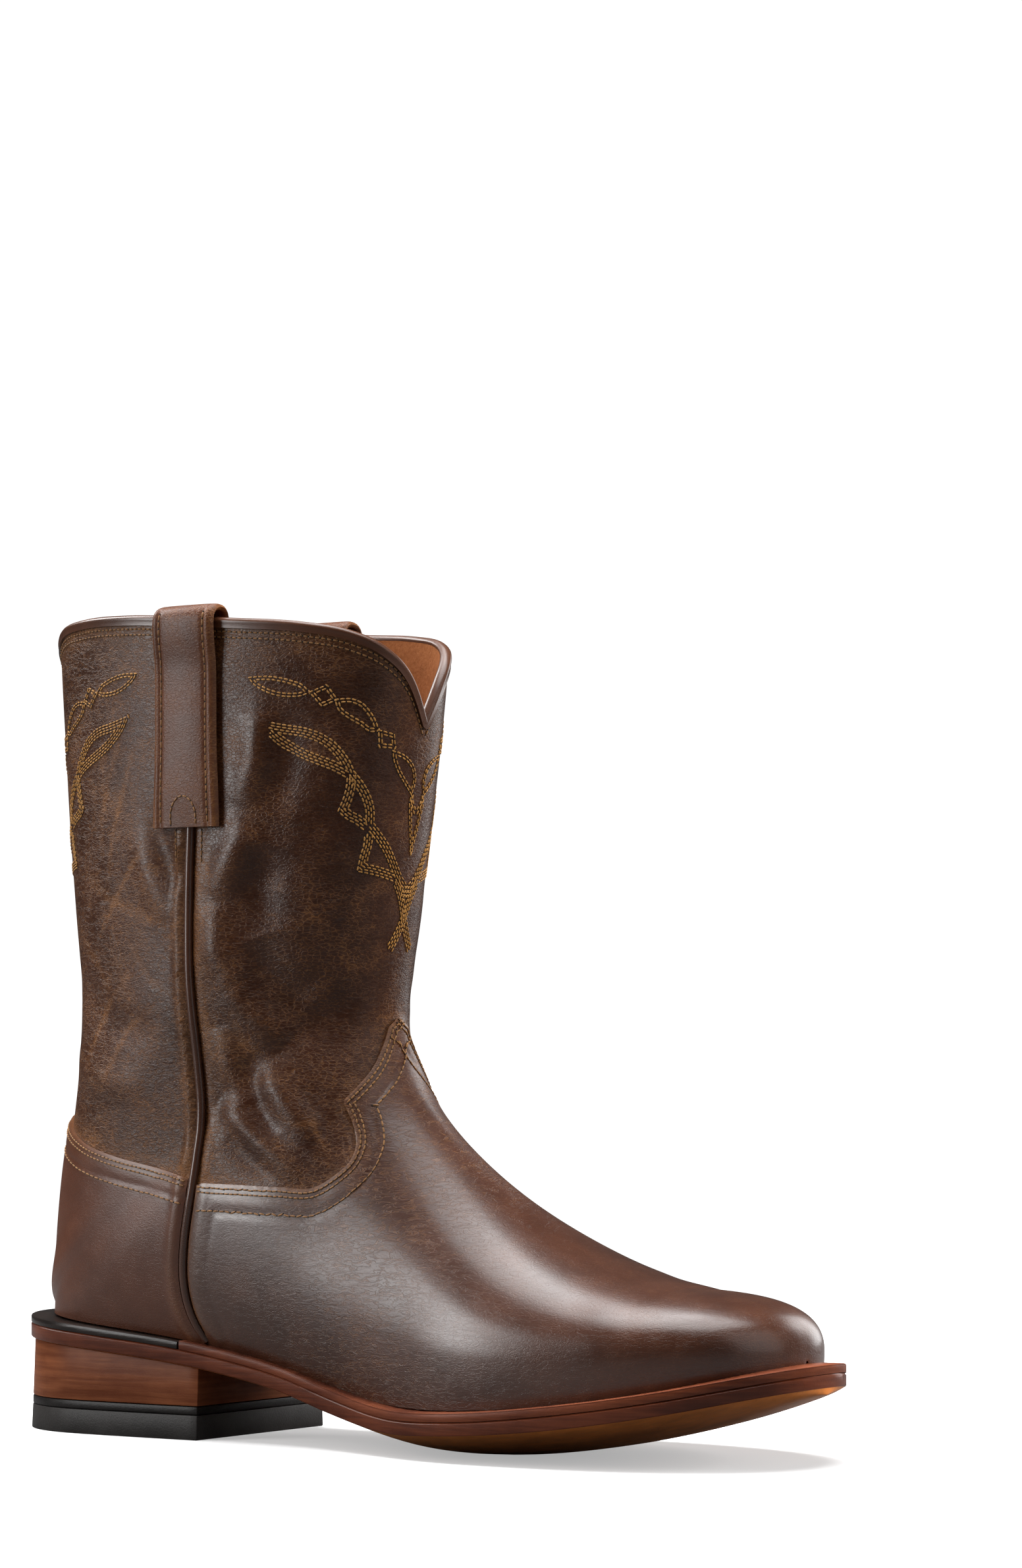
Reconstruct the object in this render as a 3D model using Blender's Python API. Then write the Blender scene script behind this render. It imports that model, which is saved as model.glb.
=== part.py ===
"""Right western roper boot: a hollow leather upper on a welted leather sole with a stacked heel."""
import math

import bmesh
import bpy
import numpy as np

MM = 0.001

# Sole outline in mm, x from the back of the heel, lateral side at -y
SOLE_LENGTH = 306.0
HEEL_CENTRE_X = 40.0
HEEL_HALF = 37.4
HEEL_ROUND = 2.3
WAIST_X = {-1: 119.0, 1: 127.0}
WAIST_HALF = {-1: 34.5, 1: 31.0}
BALL_X = {-1: 205.0, 1: 219.0}
BALL_HALF = {-1: 55.0, 1: 50.5}
TOE_ROUND = 2.25
TOE_SWING = 5.0
BREAST_X = 88.5

# Heights along the sole in mm: seat is the foot of the upper, edge the outsole side, crown how far the
# tread bulges down, margin how far the upper stands in from the sole outline
SOLE_COLUMNS = ("x", "seat", "edge", "crown", "margin")
SOLE_ROWS = (
    (0.0, 40.0, 4.9, 0.0, 10.2),
    (45.0, 36.8, 4.9, 0.0, 7.2),
    (85.0, 32.8, 4.9, 0.4, 5.6),
    (115.0, 27.5, 4.9, 1.6, 5.2),
    (145.0, 20.2, 4.9, 4.2, 6.2),
    (175.0, 15.8, 4.6, 7.6, 7.6),
    (200.0, 16.2, 4.3, 9.0, 8.2),
    (235.0, 19.5, 4.5, 8.0, 8.4),
    (270.0, 24.8, 4.4, 5.4, 8.6),
    (306.0, 32.4, 4.2, 2.0, 8.8),
)
WELT_THICK = 2.9
LAYER_GAP = 0.15
FIT_GAP = 0.3
SEAT_GAP = 0.5
WELT_GAP = 0.38
WELT_WIDTH = 13.0
WELT_START_X = 82.0
RAND_WIDTH = 13.0

# Heel layers in mm
CAP_HEIGHT = 8.2
LIFT_HEIGHT = 2.7
HEEL_FLARE = 1.2

# Upper, one row per section: end point on the feather line or back line, then ridge point on the toe,
# instep or shaft front, then half width and where and how squarely the section bulges
SECTION_COLUMNS = ("end_x", "end_z", "ridge_x", "ridge_z", "half", "widest", "top_round", "low_round")
SECTION_ROWS = (
    (257.0, None, 257.0, 52.0, 0.0, 0.34, 2.40, 2.2),
    (233.0, None, 233.0, 57.5, 0.0, 0.31, 2.25, 2.2),
    (211.0, None, 211.0, 67.4, 0.0, 0.28, 2.10, 2.2),
    (189.0, None, 189.0, 80.6, 0.0, 0.26, 1.95, 2.2),
    (169.0, None, 169.0, 96.6, 31.0, 0.25, 1.88, 2.2),
    (147.0, None, 156.2, 109.8, 34.0, 0.26, 1.88, 2.2),
    (122.0, None, 149.4, 120.0, 35.0, 0.29, 1.92, 2.2),
    (93.0, None, 146.4, 129.0, 36.0, 0.33, 1.98, 2.2),
    (62.0, None, 145.0, 137.5, 36.0, 0.38, 2.05, 2.2),
    (33.0, None, 144.8, 145.0, 36.0, 0.42, 2.10, 2.35),
    (10.2, None, 145.2, 151.5, 35.5, 0.45, 2.15, 2.5),
    (10.4, 58.0, 145.7, 157.5, 35.5, 0.47, 2.20, 2.5),
    (12.2, 80.5, 146.4, 163.5, 36.0, 0.48, 2.20, 2.4),
    (15.8, 103.5, 147.2, 170.0, 37.0, 0.49, 2.20, 2.3),
    (18.4, 126.5, 148.2, 177.5, 37.5, 0.50, 2.20, 2.25),
    (18.0, 150.0, 149.5, 187.0, 37.5, 0.50, 2.20, 2.2),
    (15.8, 175.0, 151.3, 199.5, 37.5, 0.50, 2.25, 2.25),
    (13.4, 203.0, 153.7, 215.5, 37.5, 0.50, 2.30, 2.3),
    (11.2, 231.0, 156.2, 234.5, 37.5, 0.50, 2.35, 2.3),
    (9.2, 258.0, 158.6, 258.0, 37.5, 0.50, 2.40, 2.3),
    (7.8, 286.0, 160.8, 286.0, 37.5, 0.50, 2.40, 2.3),
)
HEEL_ROW = 10
HEEL_JOIN = (9.5, 10.5)
HEEL_FOOT = (10.0, 9.95, 9.8)
TOE_BULGE = 0.035
TOE_TOP_ROUND = 3.4
TOE_TOP_DROP = 2.5
WALL = 2.0
OVERLAY = 1.3
OVERLAY_GAP = 0.4

# Collar edge, by share of the way from the back to the front
COLLAR_COLUMNS = ("share", "z")
COLLAR_ROWS = (
    (0.0, 254.0), (0.08, 264.8), (0.15, 270.4), (0.24, 272.2), (0.36, 272.0), (0.50, 270.2), (0.62, 268.4),
    (0.75, 266.2), (0.84, 263.0), (0.90, 258.0), (0.95, 250.0), (1.0, 235.4),
)

# Lines on the upper seen from the side, in mm
SEAM_COLUMNS = ("z", "x")
SEAM_ROWS = (
    (28.0, 92.6), (40.0, 86.8), (52.0, 85.0), (64.0, 86.0), (84.0, 89.4),
    (105.0, 90.8), (130.0, 89.4), (155.0, 87.8), (180.0, 87.8), (203.0, 88.6),
)
VAMP_COLUMNS = ("x", "z")
VAMP_ROWS = (
    (107.0, 84.6), (124.0, 84.1), (134.0, 84.3), (141.0, 85.6), (146.3, 88.4), (149.2, 92.8), (148.8, 98.6),
    (145.6, 104.8), (141.6, 111.6), (143.8, 118.0), (144.8, 126.0), (145.4, 135.0), (148.6, 143.5),
)
COUNTER_COLUMNS = ("x", "z")
COUNTER_ROWS = ((70.0, 90.2), (55.0, 93.0), (38.0, 97.4), (26.0, 102.4), (16.0, 108.0))

# Trim sizes in mm
PIPING_HALF = 1.7
PIPING_RISE = 2.4
PIPING_CLEAR = 0.5
PIPING_FOOT_Z = 34.0
STRAP_X = 87.6
STRAP_HALF = 13.0
STRAP_THICK = 2.0
STRAP_OUTER_Z = 202.0
STRAP_INNER_Z = 226.0
STRAP_LIFT = 5.2
BINDING_LEG = 1.8
BINDING_INNER_LEG = 1.4
BINDING_THICK = 0.9
BINDING_CLEAR = 0.6
BINDING_SEAT = 0.6
INSOLE_THICK = 3.0

# Mesh steps
TOE_STEPS = 7
AROUND_HALF = 14
SHAFT_STEPS = 7
OUTLINE_STEPS = 52
SOLE_STATIONS = 34
SOLE_COLUMNS_ACROSS = 8
NORMAL_PASSES = 3

for thing in list(bpy.data.objects):
    bpy.data.objects.remove(thing, do_unlink=True)


def curve(rows, column, at):
    """Smooth value of one table column at a place in its first column."""
    keys = np.array([row[0] for row in rows], float)
    values = np.array([row[column] for row in rows], float)
    slopes = np.gradient(values, keys)
    at = np.clip(np.asarray(at, float), keys[0], keys[-1])
    low = np.clip(np.searchsorted(keys, at, side="right") - 1, 0, len(keys) - 2)
    step = keys[low + 1] - keys[low]
    u = (at - keys[low]) / step
    return (values[low] * (1 + 2 * u) * (1 - u) ** 2 + slopes[low] * step * u * (1 - u) ** 2
            + values[low + 1] * u * u * (3 - 2 * u) + slopes[low + 1] * step * u * u * (u - 1))


def ease(u):
    """Step from 0 to 1 with level ends."""
    u = np.clip(u, 0.0, 1.0)
    return u * u * (3 - 2 * u)


def sole_half(x, side):
    """Half width of the sole at x on one side."""
    x = np.clip(np.asarray(x, float), 0.0, SOLE_LENGTH)
    waist, ball = WAIST_X[side], BALL_X[side]
    behind = np.clip((HEEL_CENTRE_X - x) / HEEL_CENTRE_X, 0, 1)
    heel = HEEL_HALF * (1 - behind ** HEEL_ROUND) ** (1 / HEEL_ROUND)
    heel = heel + (WAIST_HALF[side] - HEEL_HALF) * ease((x - HEEL_CENTRE_X) / (waist - HEEL_CENTRE_X))
    fore = heel + (BALL_HALF[side] - WAIST_HALF[side]) * ease((x - waist) / (ball - waist))
    toe = (1 - np.clip((x - ball) / (SOLE_LENGTH - ball), 0, 1) ** TOE_ROUND) ** (1 / TOE_ROUND)
    return fore * toe


def outline(q, inset=0.0):
    """Points of the sole outline; q runs 0 to 1 from heel back by the lateral side, toe and medial side."""
    q = np.asarray(q, float)

    def edge(place):
        x = SOLE_LENGTH / 2 * (1 - np.cos(2 * math.pi * place))
        swing = TOE_SWING * ease((x - HEEL_CENTRE_X) / (SOLE_LENGTH - HEEL_CENTRE_X))
        half = np.where(place % 1.0 < 0.5, -sole_half(x, -1), sole_half(x, 1))
        return np.stack([x, swing + half], -1)

    step = 1e-4
    along = edge(q + step) - edge(q - step)
    along /= np.linalg.norm(along, axis=-1, keepdims=True)
    inward = np.stack([-along[:, 1], along[:, 0]], -1)
    return edge(q) + inward * np.reshape(inset, (-1, 1))


def sole_value(name, x):
    """One column of the sole table at x."""
    return curve(SOLE_ROWS, SOLE_COLUMNS.index(name), x)


def outsole_top(x):
    """Top of the outsole, below the welt."""
    return sole_value("seat", x) - SEAT_GAP - WELT_THICK - LAYER_GAP


def outsole_edge(x):
    """Bottom edge of the outsole side."""
    return outsole_top(x) - sole_value("edge", x)


# Feather line, the bottom edge of the upper, as an inset of the sole outline
FEATHER_Q = np.linspace(0.0, 1.0, 721)
FEATHER_XY = outline(FEATHER_Q, sole_value("margin", outline(FEATHER_Q)[:, 0]))
FEATHER_BACK = FEATHER_XY[0, 0]
FEATHER_TIP = FEATHER_XY[360, 0]


def feather(x, side):
    """Lateral or medial y of the feather line at x."""
    part = FEATHER_XY[:361] if side < 0 else FEATHER_XY[:359:-1]
    order = np.maximum.accumulate(part[:, 0])
    return np.interp(x, order, part[:, 1])


TABLE = np.array([[0.0 if cell is None else cell for cell in row] for row in SECTION_ROWS])
TABLE[HEEL_ROW, 0] = FEATHER_BACK
TABLE[:HEEL_ROW + 1, 1] = sole_value("seat", TABLE[:HEEL_ROW + 1, 0])
LAST_ROW = len(SECTION_ROWS) - 1


def section(place):
    """Section sizes at a place: below 0 is the toe, 0 and up are the table rows."""
    if place < 0:
        tip = FEATHER_TIP
        ball = TABLE[0, 0]
        x = ball + (tip - ball) * math.sin(min(-place, 1.0) * math.pi / 2)
        near = np.array(section(0.0))
        ahead = (x - ball) / (tip - ball)
        seat = float(sole_value("seat", x))
        top = near[3] - TOE_TOP_DROP * ahead
        rise = (top - seat) * (1 - ahead ** TOE_TOP_ROUND) ** (1 / TOE_TOP_ROUND)
        near[0] = near[2] = x
        near[1], near[3] = seat, seat + rise
        return near
    low = int(min(max(math.floor(place), 0), LAST_ROW - 1))
    u = place - low
    a, b = TABLE[low], TABLE[low + 1]
    before = TABLE[low - 1] if low > 0 else 2 * a - b
    after = TABLE[low + 2] if low + 2 <= LAST_ROW else 2 * b - a
    return (a * (1 + 2 * u) * (1 - u) ** 2 + (b - before) / 2 * u * (1 - u) ** 2
            + b * u * u * (3 - 2 * u) + (after - a) / 2 * u * u * (u - 1))


def half_section(place, side, samples=40):
    """Points from the end of a section to its ridge on one side, and the share of the way for each."""
    end_x, end_z, ridge_x, ridge_z, half, widest, top_round, low_round = section(place)
    base, middle = 0.0, 0.0
    if place < HEEL_ROW:
        end_z = float(sole_value("seat", end_x))
        left, right = float(feather(end_x, -1)), float(feather(end_x, 1))
        middle, base = (left + right) / 2, (right - left) / 2
    wide = ((base * (1 + TOE_BULGE)) ** 8 + max(half, 0.0) ** 8) ** 0.125 + 1e-6
    start = math.acos(min(base / wide, 1.0) ** (low_round / 2))
    reach = widest / max(math.sin(start), 1e-6) ** (2 / low_round)
    low = np.linspace(start, 0.0, samples)
    high = np.linspace(0.0, math.pi / 2, samples)[1:]
    t = np.concatenate([widest - reach * np.sin(low) ** (2 / low_round),
                        widest + (1 - widest) * np.sin(high) ** (2 / top_round)])
    w = np.concatenate([wide * np.cos(low) ** (2 / low_round),
                        wide * np.clip(np.cos(high), 0, 1) ** (2 / top_round)])
    w[-1] = 0.0
    points = np.stack([end_x + (ridge_x - end_x) * t, middle + side * w, end_z + (ridge_z - end_z) * t], -1)
    share = np.concatenate([[0.0], np.cumsum(np.linalg.norm(np.diff(points, axis=0), axis=1))])
    return points, share / share[-1]


def skin_point(place, side, share):
    """Points of the outer surface on one section at shares of the way from its end to its ridge."""
    points, way = half_section(place, side)
    return np.stack([np.interp(share, way, points[:, k]) for k in range(3)], -1)


def collar_z(share):
    """Height of the collar edge; share 0 at the back, 1 at the front."""
    return float(curve(COLLAR_ROWS, 1, share))


def collar_place(side, share):
    """Section place at which a column of the shaft reaches the collar edge."""
    places = np.linspace(14.0, LAST_ROW, 61)
    heights = np.array([skin_point(place, side, share)[2] for place in places])
    return float(np.interp(collar_z(share), heights, places))


def side_place(x, z):
    """Section place and share along it of a point seen from the side."""
    places = np.concatenate([np.linspace(-1.0, 0.0, 60)[1:], np.linspace(0.0, LAST_ROW, 500)[1:]])
    rows = np.array([section(place) for place in places])
    along = rows[:, 2:4] - rows[:, 0:2]
    turn = along[:, 0] * (z - rows[:, 1]) - along[:, 1] * (x - rows[:, 0])
    k = int(np.argmax(turn[:-1] * turn[1:] <= 0))
    place = places[k] + (places[k + 1] - places[k]) * turn[k] / (turn[k] - turn[k + 1])
    row = section(place)
    span = row[2:4] - row[0:2]
    t = ((x - row[0]) * span[0] + (z - row[1]) * span[1]) / (span @ span)
    points, way = half_section(place, 1)
    travel = ((points[:, 0] - row[0]) * span[0] + (points[:, 2] - row[1]) * span[1]) / (span @ span)
    return place, float(np.interp(t, travel, way))


def side_frame(x, z, side):
    """Point and outward normal of the outer surface at a place seen from the side."""
    def spot(px, pz):
        place, share = side_place(px, pz)
        return skin_point(place, side, share)

    here = spot(x, z)
    across = spot(x + 1.0, z) - spot(x - 1.0, z)
    up = spot(x, z + 1.0) - spot(x, z - 1.0)
    normal = np.cross(across, up)
    normal /= np.linalg.norm(normal)
    if normal[1] * side < 0:
        normal = -normal
    return here, normal


def finish(name, verts, faces, colour, rough, soft=35.0):
    """Object from points in mm and faces, outward and smooth except at sharp edges."""
    mesh = bpy.data.meshes.new(name)
    mesh.from_pydata([tuple(float(c) * MM for c in v) for v in verts], [], [tuple(f) for f in faces])
    work = bmesh.new()
    work.from_mesh(mesh)
    bmesh.ops.remove_doubles(work, verts=work.verts, dist=0.00001)
    bmesh.ops.recalc_face_normals(work, faces=work.faces)
    work.to_mesh(mesh)
    work.free()
    thing = bpy.data.objects.new(name, mesh)
    bpy.context.scene.collection.objects.link(thing)
    dress(thing, colour, rough, soft)
    return thing


def dress(thing, colour, rough, soft=35.0):
    """Own material and smooth shading for one piece."""
    material = bpy.data.materials.new(thing.name)
    material.use_nodes = True
    shader = material.node_tree.nodes["Principled BSDF"]
    shader.inputs["Base Color"].default_value = (*colour, 1.0)
    shader.inputs["Roughness"].default_value = rough
    shader.inputs["Metallic"].default_value = 0.0
    thing.data.materials.clear()
    thing.data.materials.append(material)
    for polygon in thing.data.polygons:
        polygon.use_smooth = True
    thing.data.set_sharp_from_angle(angle=math.radians(soft))


def skin_grid(top_place=None):
    """Points and faces of the open outer surface from the toe tip to the collar, or to one section place."""
    shares = np.linspace(0.0, 1.0, AROUND_HALF + 1)
    toe = [-math.acos(k / TOE_STEPS) * 2 / math.pi for k in range(1, TOE_STEPS)]
    fan = [*np.arange(0.0, 9.0, 0.75), 9.0, *HEEL_JOIN, 11.0, 12.0, 13.0, 14.0]
    verts = [skin_point(-1.0 + 1e-9, -1, 0.0)]
    rows = []
    for place in toe + fan:
        if top_place is not None and place > top_place:
            break
        lateral = skin_point(place, -1, shares)
        medial = skin_point(place, 1, shares[::-1])[1:]
        rows.append(list(range(len(verts), len(verts) + 2 * AROUND_HALF + 1)))
        verts.extend(list(lateral) + list(medial))
    if top_place is None:
        tops = {side: [collar_place(side, share) for share in shares] for side in (-1, 1)}
        for step in range(1, SHAFT_STEPS + 1):
            k = step / SHAFT_STEPS
            lateral, medial = ([skin_point(14.0 + (top - 14.0) * k, side, share)
                                for top, share in zip(tops[side], shares)] for side in (-1, 1))
            rows.append(list(range(len(verts), len(verts) + 2 * AROUND_HALF + 1)))
            verts.extend(lateral + medial[::-1][1:])
    faces = [(0, rows[0][j], rows[0][j + 1]) for j in range(2 * AROUND_HALF)]
    heel = len(toe) + fan.index(HEEL_JOIN[0])
    for k, (a, b) in enumerate(zip(rows[:-1], rows[1:])):
        if k == heel:
            for side in (-1, 1):
                foot = list(range(len(verts), len(verts) + len(HEEL_FOOT)))
                verts.extend(skin_point(place, side, 0.0) for place in HEEL_FOOT)
                step = -side
                low = foot + a[::step][:AROUND_HALF + 1]
                faces += zip_rows(low, b[::step][:AROUND_HALF + 1], verts, step)
            continue
        for j in range(2 * AROUND_HALF):
            corners = (a[j], b[j], b[j + 1], a[j + 1])
            turn = 0 if j < AROUND_HALF else 1
            faces.append(tuple(corners[(turn + k) % 4] for k in (0, 1, 2)))
            faces.append(tuple(corners[(turn + k) % 4] for k in (0, 2, 3)))
    return weld(np.array(verts), faces)


def zip_rows(low, high, verts, turn):
    """Triangles between two rows of different counts, each time across the shorter diagonal."""
    i, j, faces = 0, 0, []
    while i < len(low) - 1 or j < len(high) - 1:
        ahead = i < len(low) - 1
        if ahead and j < len(high) - 1:
            ahead = (np.linalg.norm(verts[low[i + 1]] - verts[high[j]])
                     < np.linalg.norm(verts[low[i]] - verts[high[j + 1]]))
        faces.append((low[i], high[j], low[i + 1] if ahead else high[j + 1])[::turn])
        i, j = (i + 1, j) if ahead else (i, j + 1)
    return faces


def weld(verts, faces):
    """Merge points that share a place."""
    keys, index, kept = {}, [], []
    for v in verts:
        key = tuple(np.round(v, 3))
        if key not in keys:
            keys[key] = len(kept)
            kept.append(v)
        index.append(keys[key])
    clean = []
    for face in faces:
        ring = [index[i] for i in face]
        ring = [i for k, i in enumerate(ring) if i != ring[k - 1]]
        if len(set(ring)) > 2:
            clean.append(tuple(ring))
    return np.array(kept), clean


def thicken(verts, faces, inside, outside):
    """Closed shell between two offsets of an open surface."""
    normals = np.zeros_like(verts)
    for face in faces:
        ring = verts[list(face)]
        normal = np.cross(ring[1] - ring[0], ring[2] - ring[0])
        normal /= np.linalg.norm(normal)
        for k, i in enumerate(face):
            one, two = ring[k - 1] - ring[k], ring[(k + 1) % len(ring)] - ring[k]
            bend = one @ two / (np.linalg.norm(one) * np.linalg.norm(two))
            normals[i] += normal * math.acos(max(-1.0, min(1.0, bend)))
    normals /= np.linalg.norm(normals, axis=1, keepdims=True)
    for _ in range(NORMAL_PASSES):
        blend = normals.copy()
        for face in faces:
            blend[list(face)] += normals[list(face)].mean(axis=0)
        normals = blend / np.linalg.norm(blend, axis=1, keepdims=True)
    centre = verts.mean(axis=0)
    high = int(np.argmax(verts[:, 1]))
    if normals[high] @ (verts[high] - centre) < 0:
        normals = -normals
    count = len(verts)
    points = np.concatenate([verts + normals * inside, verts + normals * outside])
    edges = {}
    for face in faces:
        for k, i in enumerate(face):
            j = face[(k + 1) % len(face)]
            edges[(i, j)] = edges.get((i, j), 0) + 1
    rim = [(i, j) for (i, j) in edges if (j, i) not in edges]
    shell = [tuple(face) for face in faces] + [tuple(i + count for i in reversed(face)) for face in faces]
    for i, j in rim:
        if verts[i][2] < verts[j][2]:
            shell += [(j, i, j + count), (i, i + count, j + count)]
        else:
            shell += [(j, i, i + count), (j, i + count, j + count)]
    return points, shell


def strip_loops(loops, closed=True, caps=False):
    """Points and faces of a run of equal loops, each joined to the next."""
    size = len(loops[0])
    verts = [v for loop in loops for v in loop]
    faces = []
    for a in range(len(loops) - 1):
        for j in range(size if closed else size - 1):
            k = (j + 1) % size
            faces.append((a * size + j, a * size + k, (a + 1) * size + k, (a + 1) * size + j))
    if caps:
        faces.append(tuple(reversed(range(size))))
        faces.append(tuple(range((len(loops) - 1) * size, len(loops) * size)))
    return verts, faces


def plate(levels):
    """Stacked equal outlines closed by strips across the lowest and the highest."""
    verts, faces = strip_loops(levels)
    size = len(levels[0])
    top = (len(levels) - 1) * size
    for base in (0, top):
        for k in range((size - 1) // 2):
            ring = (base + k, base + k + 1, base + size - 2 - k, base + size - 1 - k)
            ring = tuple(i for n, i in enumerate(ring) if i != ring[n - 1])
            if len(set(ring)) > 2:
                faces.append(ring)
    return verts, faces


def raised(xy, z):
    """Outline points with their heights."""
    return np.column_stack([xy, np.broadcast_to(z, len(xy))])


def q_at(x):
    """Outline place on the lateral side at x."""
    return math.acos(1 - 2 * x / SOLE_LENGTH) / (2 * math.pi)


# Outsole: level top, side edge, and a tread that bulges down to a flat spot under the ball
def build_outsole():
    stations = SOLE_LENGTH / 2 * (1 - np.cos(np.linspace(0, math.pi, SOLE_STATIONS + 1)))[1:-1]
    across = np.linspace(-1.0, 1.0, SOLE_COLUMNS_ACROSS + 1)
    lateral, medial = outline([q_at(x) for x in stations]), outline([1 - q_at(x) for x in stations])
    verts, faces = [], []
    for end in (0.0, SOLE_LENGTH):
        tip = outline([0.0 if end == 0.0 else 0.5])[0]
        verts.append((tip[0], tip[1], float(outsole_top(end))))
        verts.append((tip[0], tip[1], float(outsole_edge(end))))
    tops, lows = [], []
    for k, x in enumerate(stations):
        top, edge = float(outsole_top(x)), float(outsole_edge(x))
        crown = float(sole_value("crown", x) * ease((x - BREAST_X - 2.0) / 24.0))
        middle, half = (lateral[k] + medial[k]) / 2, (medial[k] - lateral[k]) / 2
        tops.append((len(verts), len(verts) + 1))
        verts.append((*lateral[k], top))
        verts.append((*medial[k], top))
        lows.append(list(range(len(verts), len(verts) + len(across))))
        for c in across:
            verts.append((*(middle + half * c), max(0.0, edge - crown * (1 - abs(c) ** 2.2))))
    for k in range(len(stations) - 1):
        a, b = k, k + 1
        faces.append((tops[a][0], tops[b][0], tops[b][1], tops[a][1]))
        faces.append((tops[a][0], tops[b][0], lows[b][0], lows[a][0]))
        faces.append((tops[a][1], tops[b][1], lows[b][-1], lows[a][-1]))
        faces += [(lows[a][j], lows[b][j], lows[b][j + 1], lows[a][j + 1]) for j in range(len(across) - 1)]
    for tip, k in ((0, 0), (2, len(stations) - 1)):
        faces.append((tip, tops[k][0], tops[k][1]))
        faces.append((tip, tops[k][0], lows[k][0], tip + 1))
        faces.append((tip, tops[k][1], lows[k][-1], tip + 1))
        faces += [(tip + 1, lows[k][j], lows[k][j + 1]) for j in range(len(across) - 1)]
    return finish("outsole", verts, faces, (0.20, 0.075, 0.035), 0.45)


# Welt and heel rand: flat strips on the outsole, round the forepart and round the heel
def build_edge_strip(name, start, stop, width, drop, colour):
    q = np.linspace(start, stop, OUTLINE_STEPS + 1)
    outer, inner = outline(q), outline(q, width)
    low, high = outsole_top(outer[:, 0]) + WELT_GAP, sole_value("seat", outer[:, 0]) - drop
    low_in, high_in = outsole_top(inner[:, 0]) + WELT_GAP, sole_value("seat", inner[:, 0]) - drop
    corners = (raised(outer, low), raised(outer, high), raised(inner, high_in), raised(inner, low_in))
    rings = np.stack(corners, 1)
    return finish(name, *strip_loops(list(rings), caps=True), colour, 0.5)


# Heel: rubber cap, thin lift and a leather stack that takes up the slope of the sole
def build_heel_layer(name, low, high, colour, rough):
    q = np.linspace(q_at(BREAST_X), -q_at(BREAST_X), 25)
    loops = []
    for level in (low, high):
        flare = HEEL_FLARE * (1 - np.clip(level(np.array([45.0]))[0] / 27.0, 0, 1))
        xy = outline(q, 1.4 - flare)
        loops.append(raised(xy, level(xy[:, 0])))
    return finish(name, *plate(loops), colour, rough)


# Insole: a board inside the upper with a filler that reaches the outsole
def build_insole():
    q = np.linspace(0, 1, OUTLINE_STEPS + 1)[:-1] + 0.5 / OUTLINE_STEPS
    margin = sole_value("margin", outline(q)[:, 0])
    filler = outline(q, WELT_WIDTH + 1.0)
    board = outline(q, margin + WALL + 1.8)
    seat, floor = sole_value("seat", board[:, 0]), outsole_top(filler[:, 0]) + 3 * LAYER_GAP
    loops = [raised(filler, floor), raised(filler, sole_value("seat", filler[:, 0]) + 0.1),
             raised(board, seat + 0.1), raised(board, seat + INSOLE_THICK)]
    return finish("insole", *plate(loops), (0.36, 0.23, 0.13), 0.8)


# Upper: hollow shell, open at the collar and underneath
def build_upper():
    points, shell = thicken(*skin_grid(), -WALL, 0.0)
    points[:, 2] = np.maximum(points[:, 2], sole_value("seat", points[:, 0]))
    return finish("upper", points, shell, (0.075, 0.032, 0.018), 0.42)


# Overlays: cut between two offsets of the upper by an outline seen from the side
def build_overlay(name, polygon, colour):
    skin = skin_grid(top_place=14.0)
    shell = finish(name, *thicken(*skin, OVERLAY_GAP, OVERLAY_GAP + OVERLAY), colour, 0.3)
    reach = 120.0
    count = len(polygon)
    verts = [(x, -reach, z) for x, z in polygon] + [(x, reach, z) for x, z in polygon]
    faces = [tuple(range(count)), tuple(range(count, 2 * count))[::-1]]
    faces += [(i, (i + 1) % count, (i + 1) % count + count, i + count) for i in range(count)]
    cutter = finish(name + "_outline", verts, faces, colour, 0.5)
    cut = shell.modifiers.new("outline", "BOOLEAN")
    cut.operation, cut.solver, cut.object = "INTERSECT", "EXACT", cutter
    graph = bpy.context.evaluated_depsgraph_get()
    shape = bpy.data.meshes.new_from_object(shell.evaluated_get(graph))
    shell.modifiers.clear()
    shell.data = shape
    bpy.data.objects.remove(cutter, do_unlink=True)
    dress(shell, colour, 0.3)
    return shell


def seam_x(z):
    """Side seam position seen from the side."""
    return curve(SEAM_ROWS, 1, z)


def seam_edge(sign, top):
    """Edge of an overlay beside the side piping, from the foot up."""
    clear = sign * (PIPING_HALF + 0.7)
    return [(float(seam_x(z)) + clear, z) for z in (40.0, 48.0, 58.0, 70.0, top)]


def foot_edge(start, stop, steps):
    """Lower edge of an overlay along the foot of the upper."""
    return [(x, float(sole_value("seat", x)) + 0.15) for x in np.linspace(start, stop, steps)]


def vamp_outline():
    """Side outline of the vamp, ahead of the side seam."""
    foot = foot_edge(SOLE_LENGTH, float(seam_x(33.0)) + PIPING_HALF + 0.7, 17)
    return [(340.0, 120.0), (340.0, 33.0)] + foot + seam_edge(1, 85.2) + list(VAMP_ROWS) + [(175.0, 150.0)]


def counter_outline():
    """Side outline of the counter, behind the side seam."""
    foot = foot_edge(0.0, float(seam_x(33.0)) - PIPING_HALF - 0.7, 9)
    return [(-30.0, 116.0), (-30.0, 40.0)] + foot + seam_edge(-1, 86.8) + list(COUNTER_ROWS)


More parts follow.
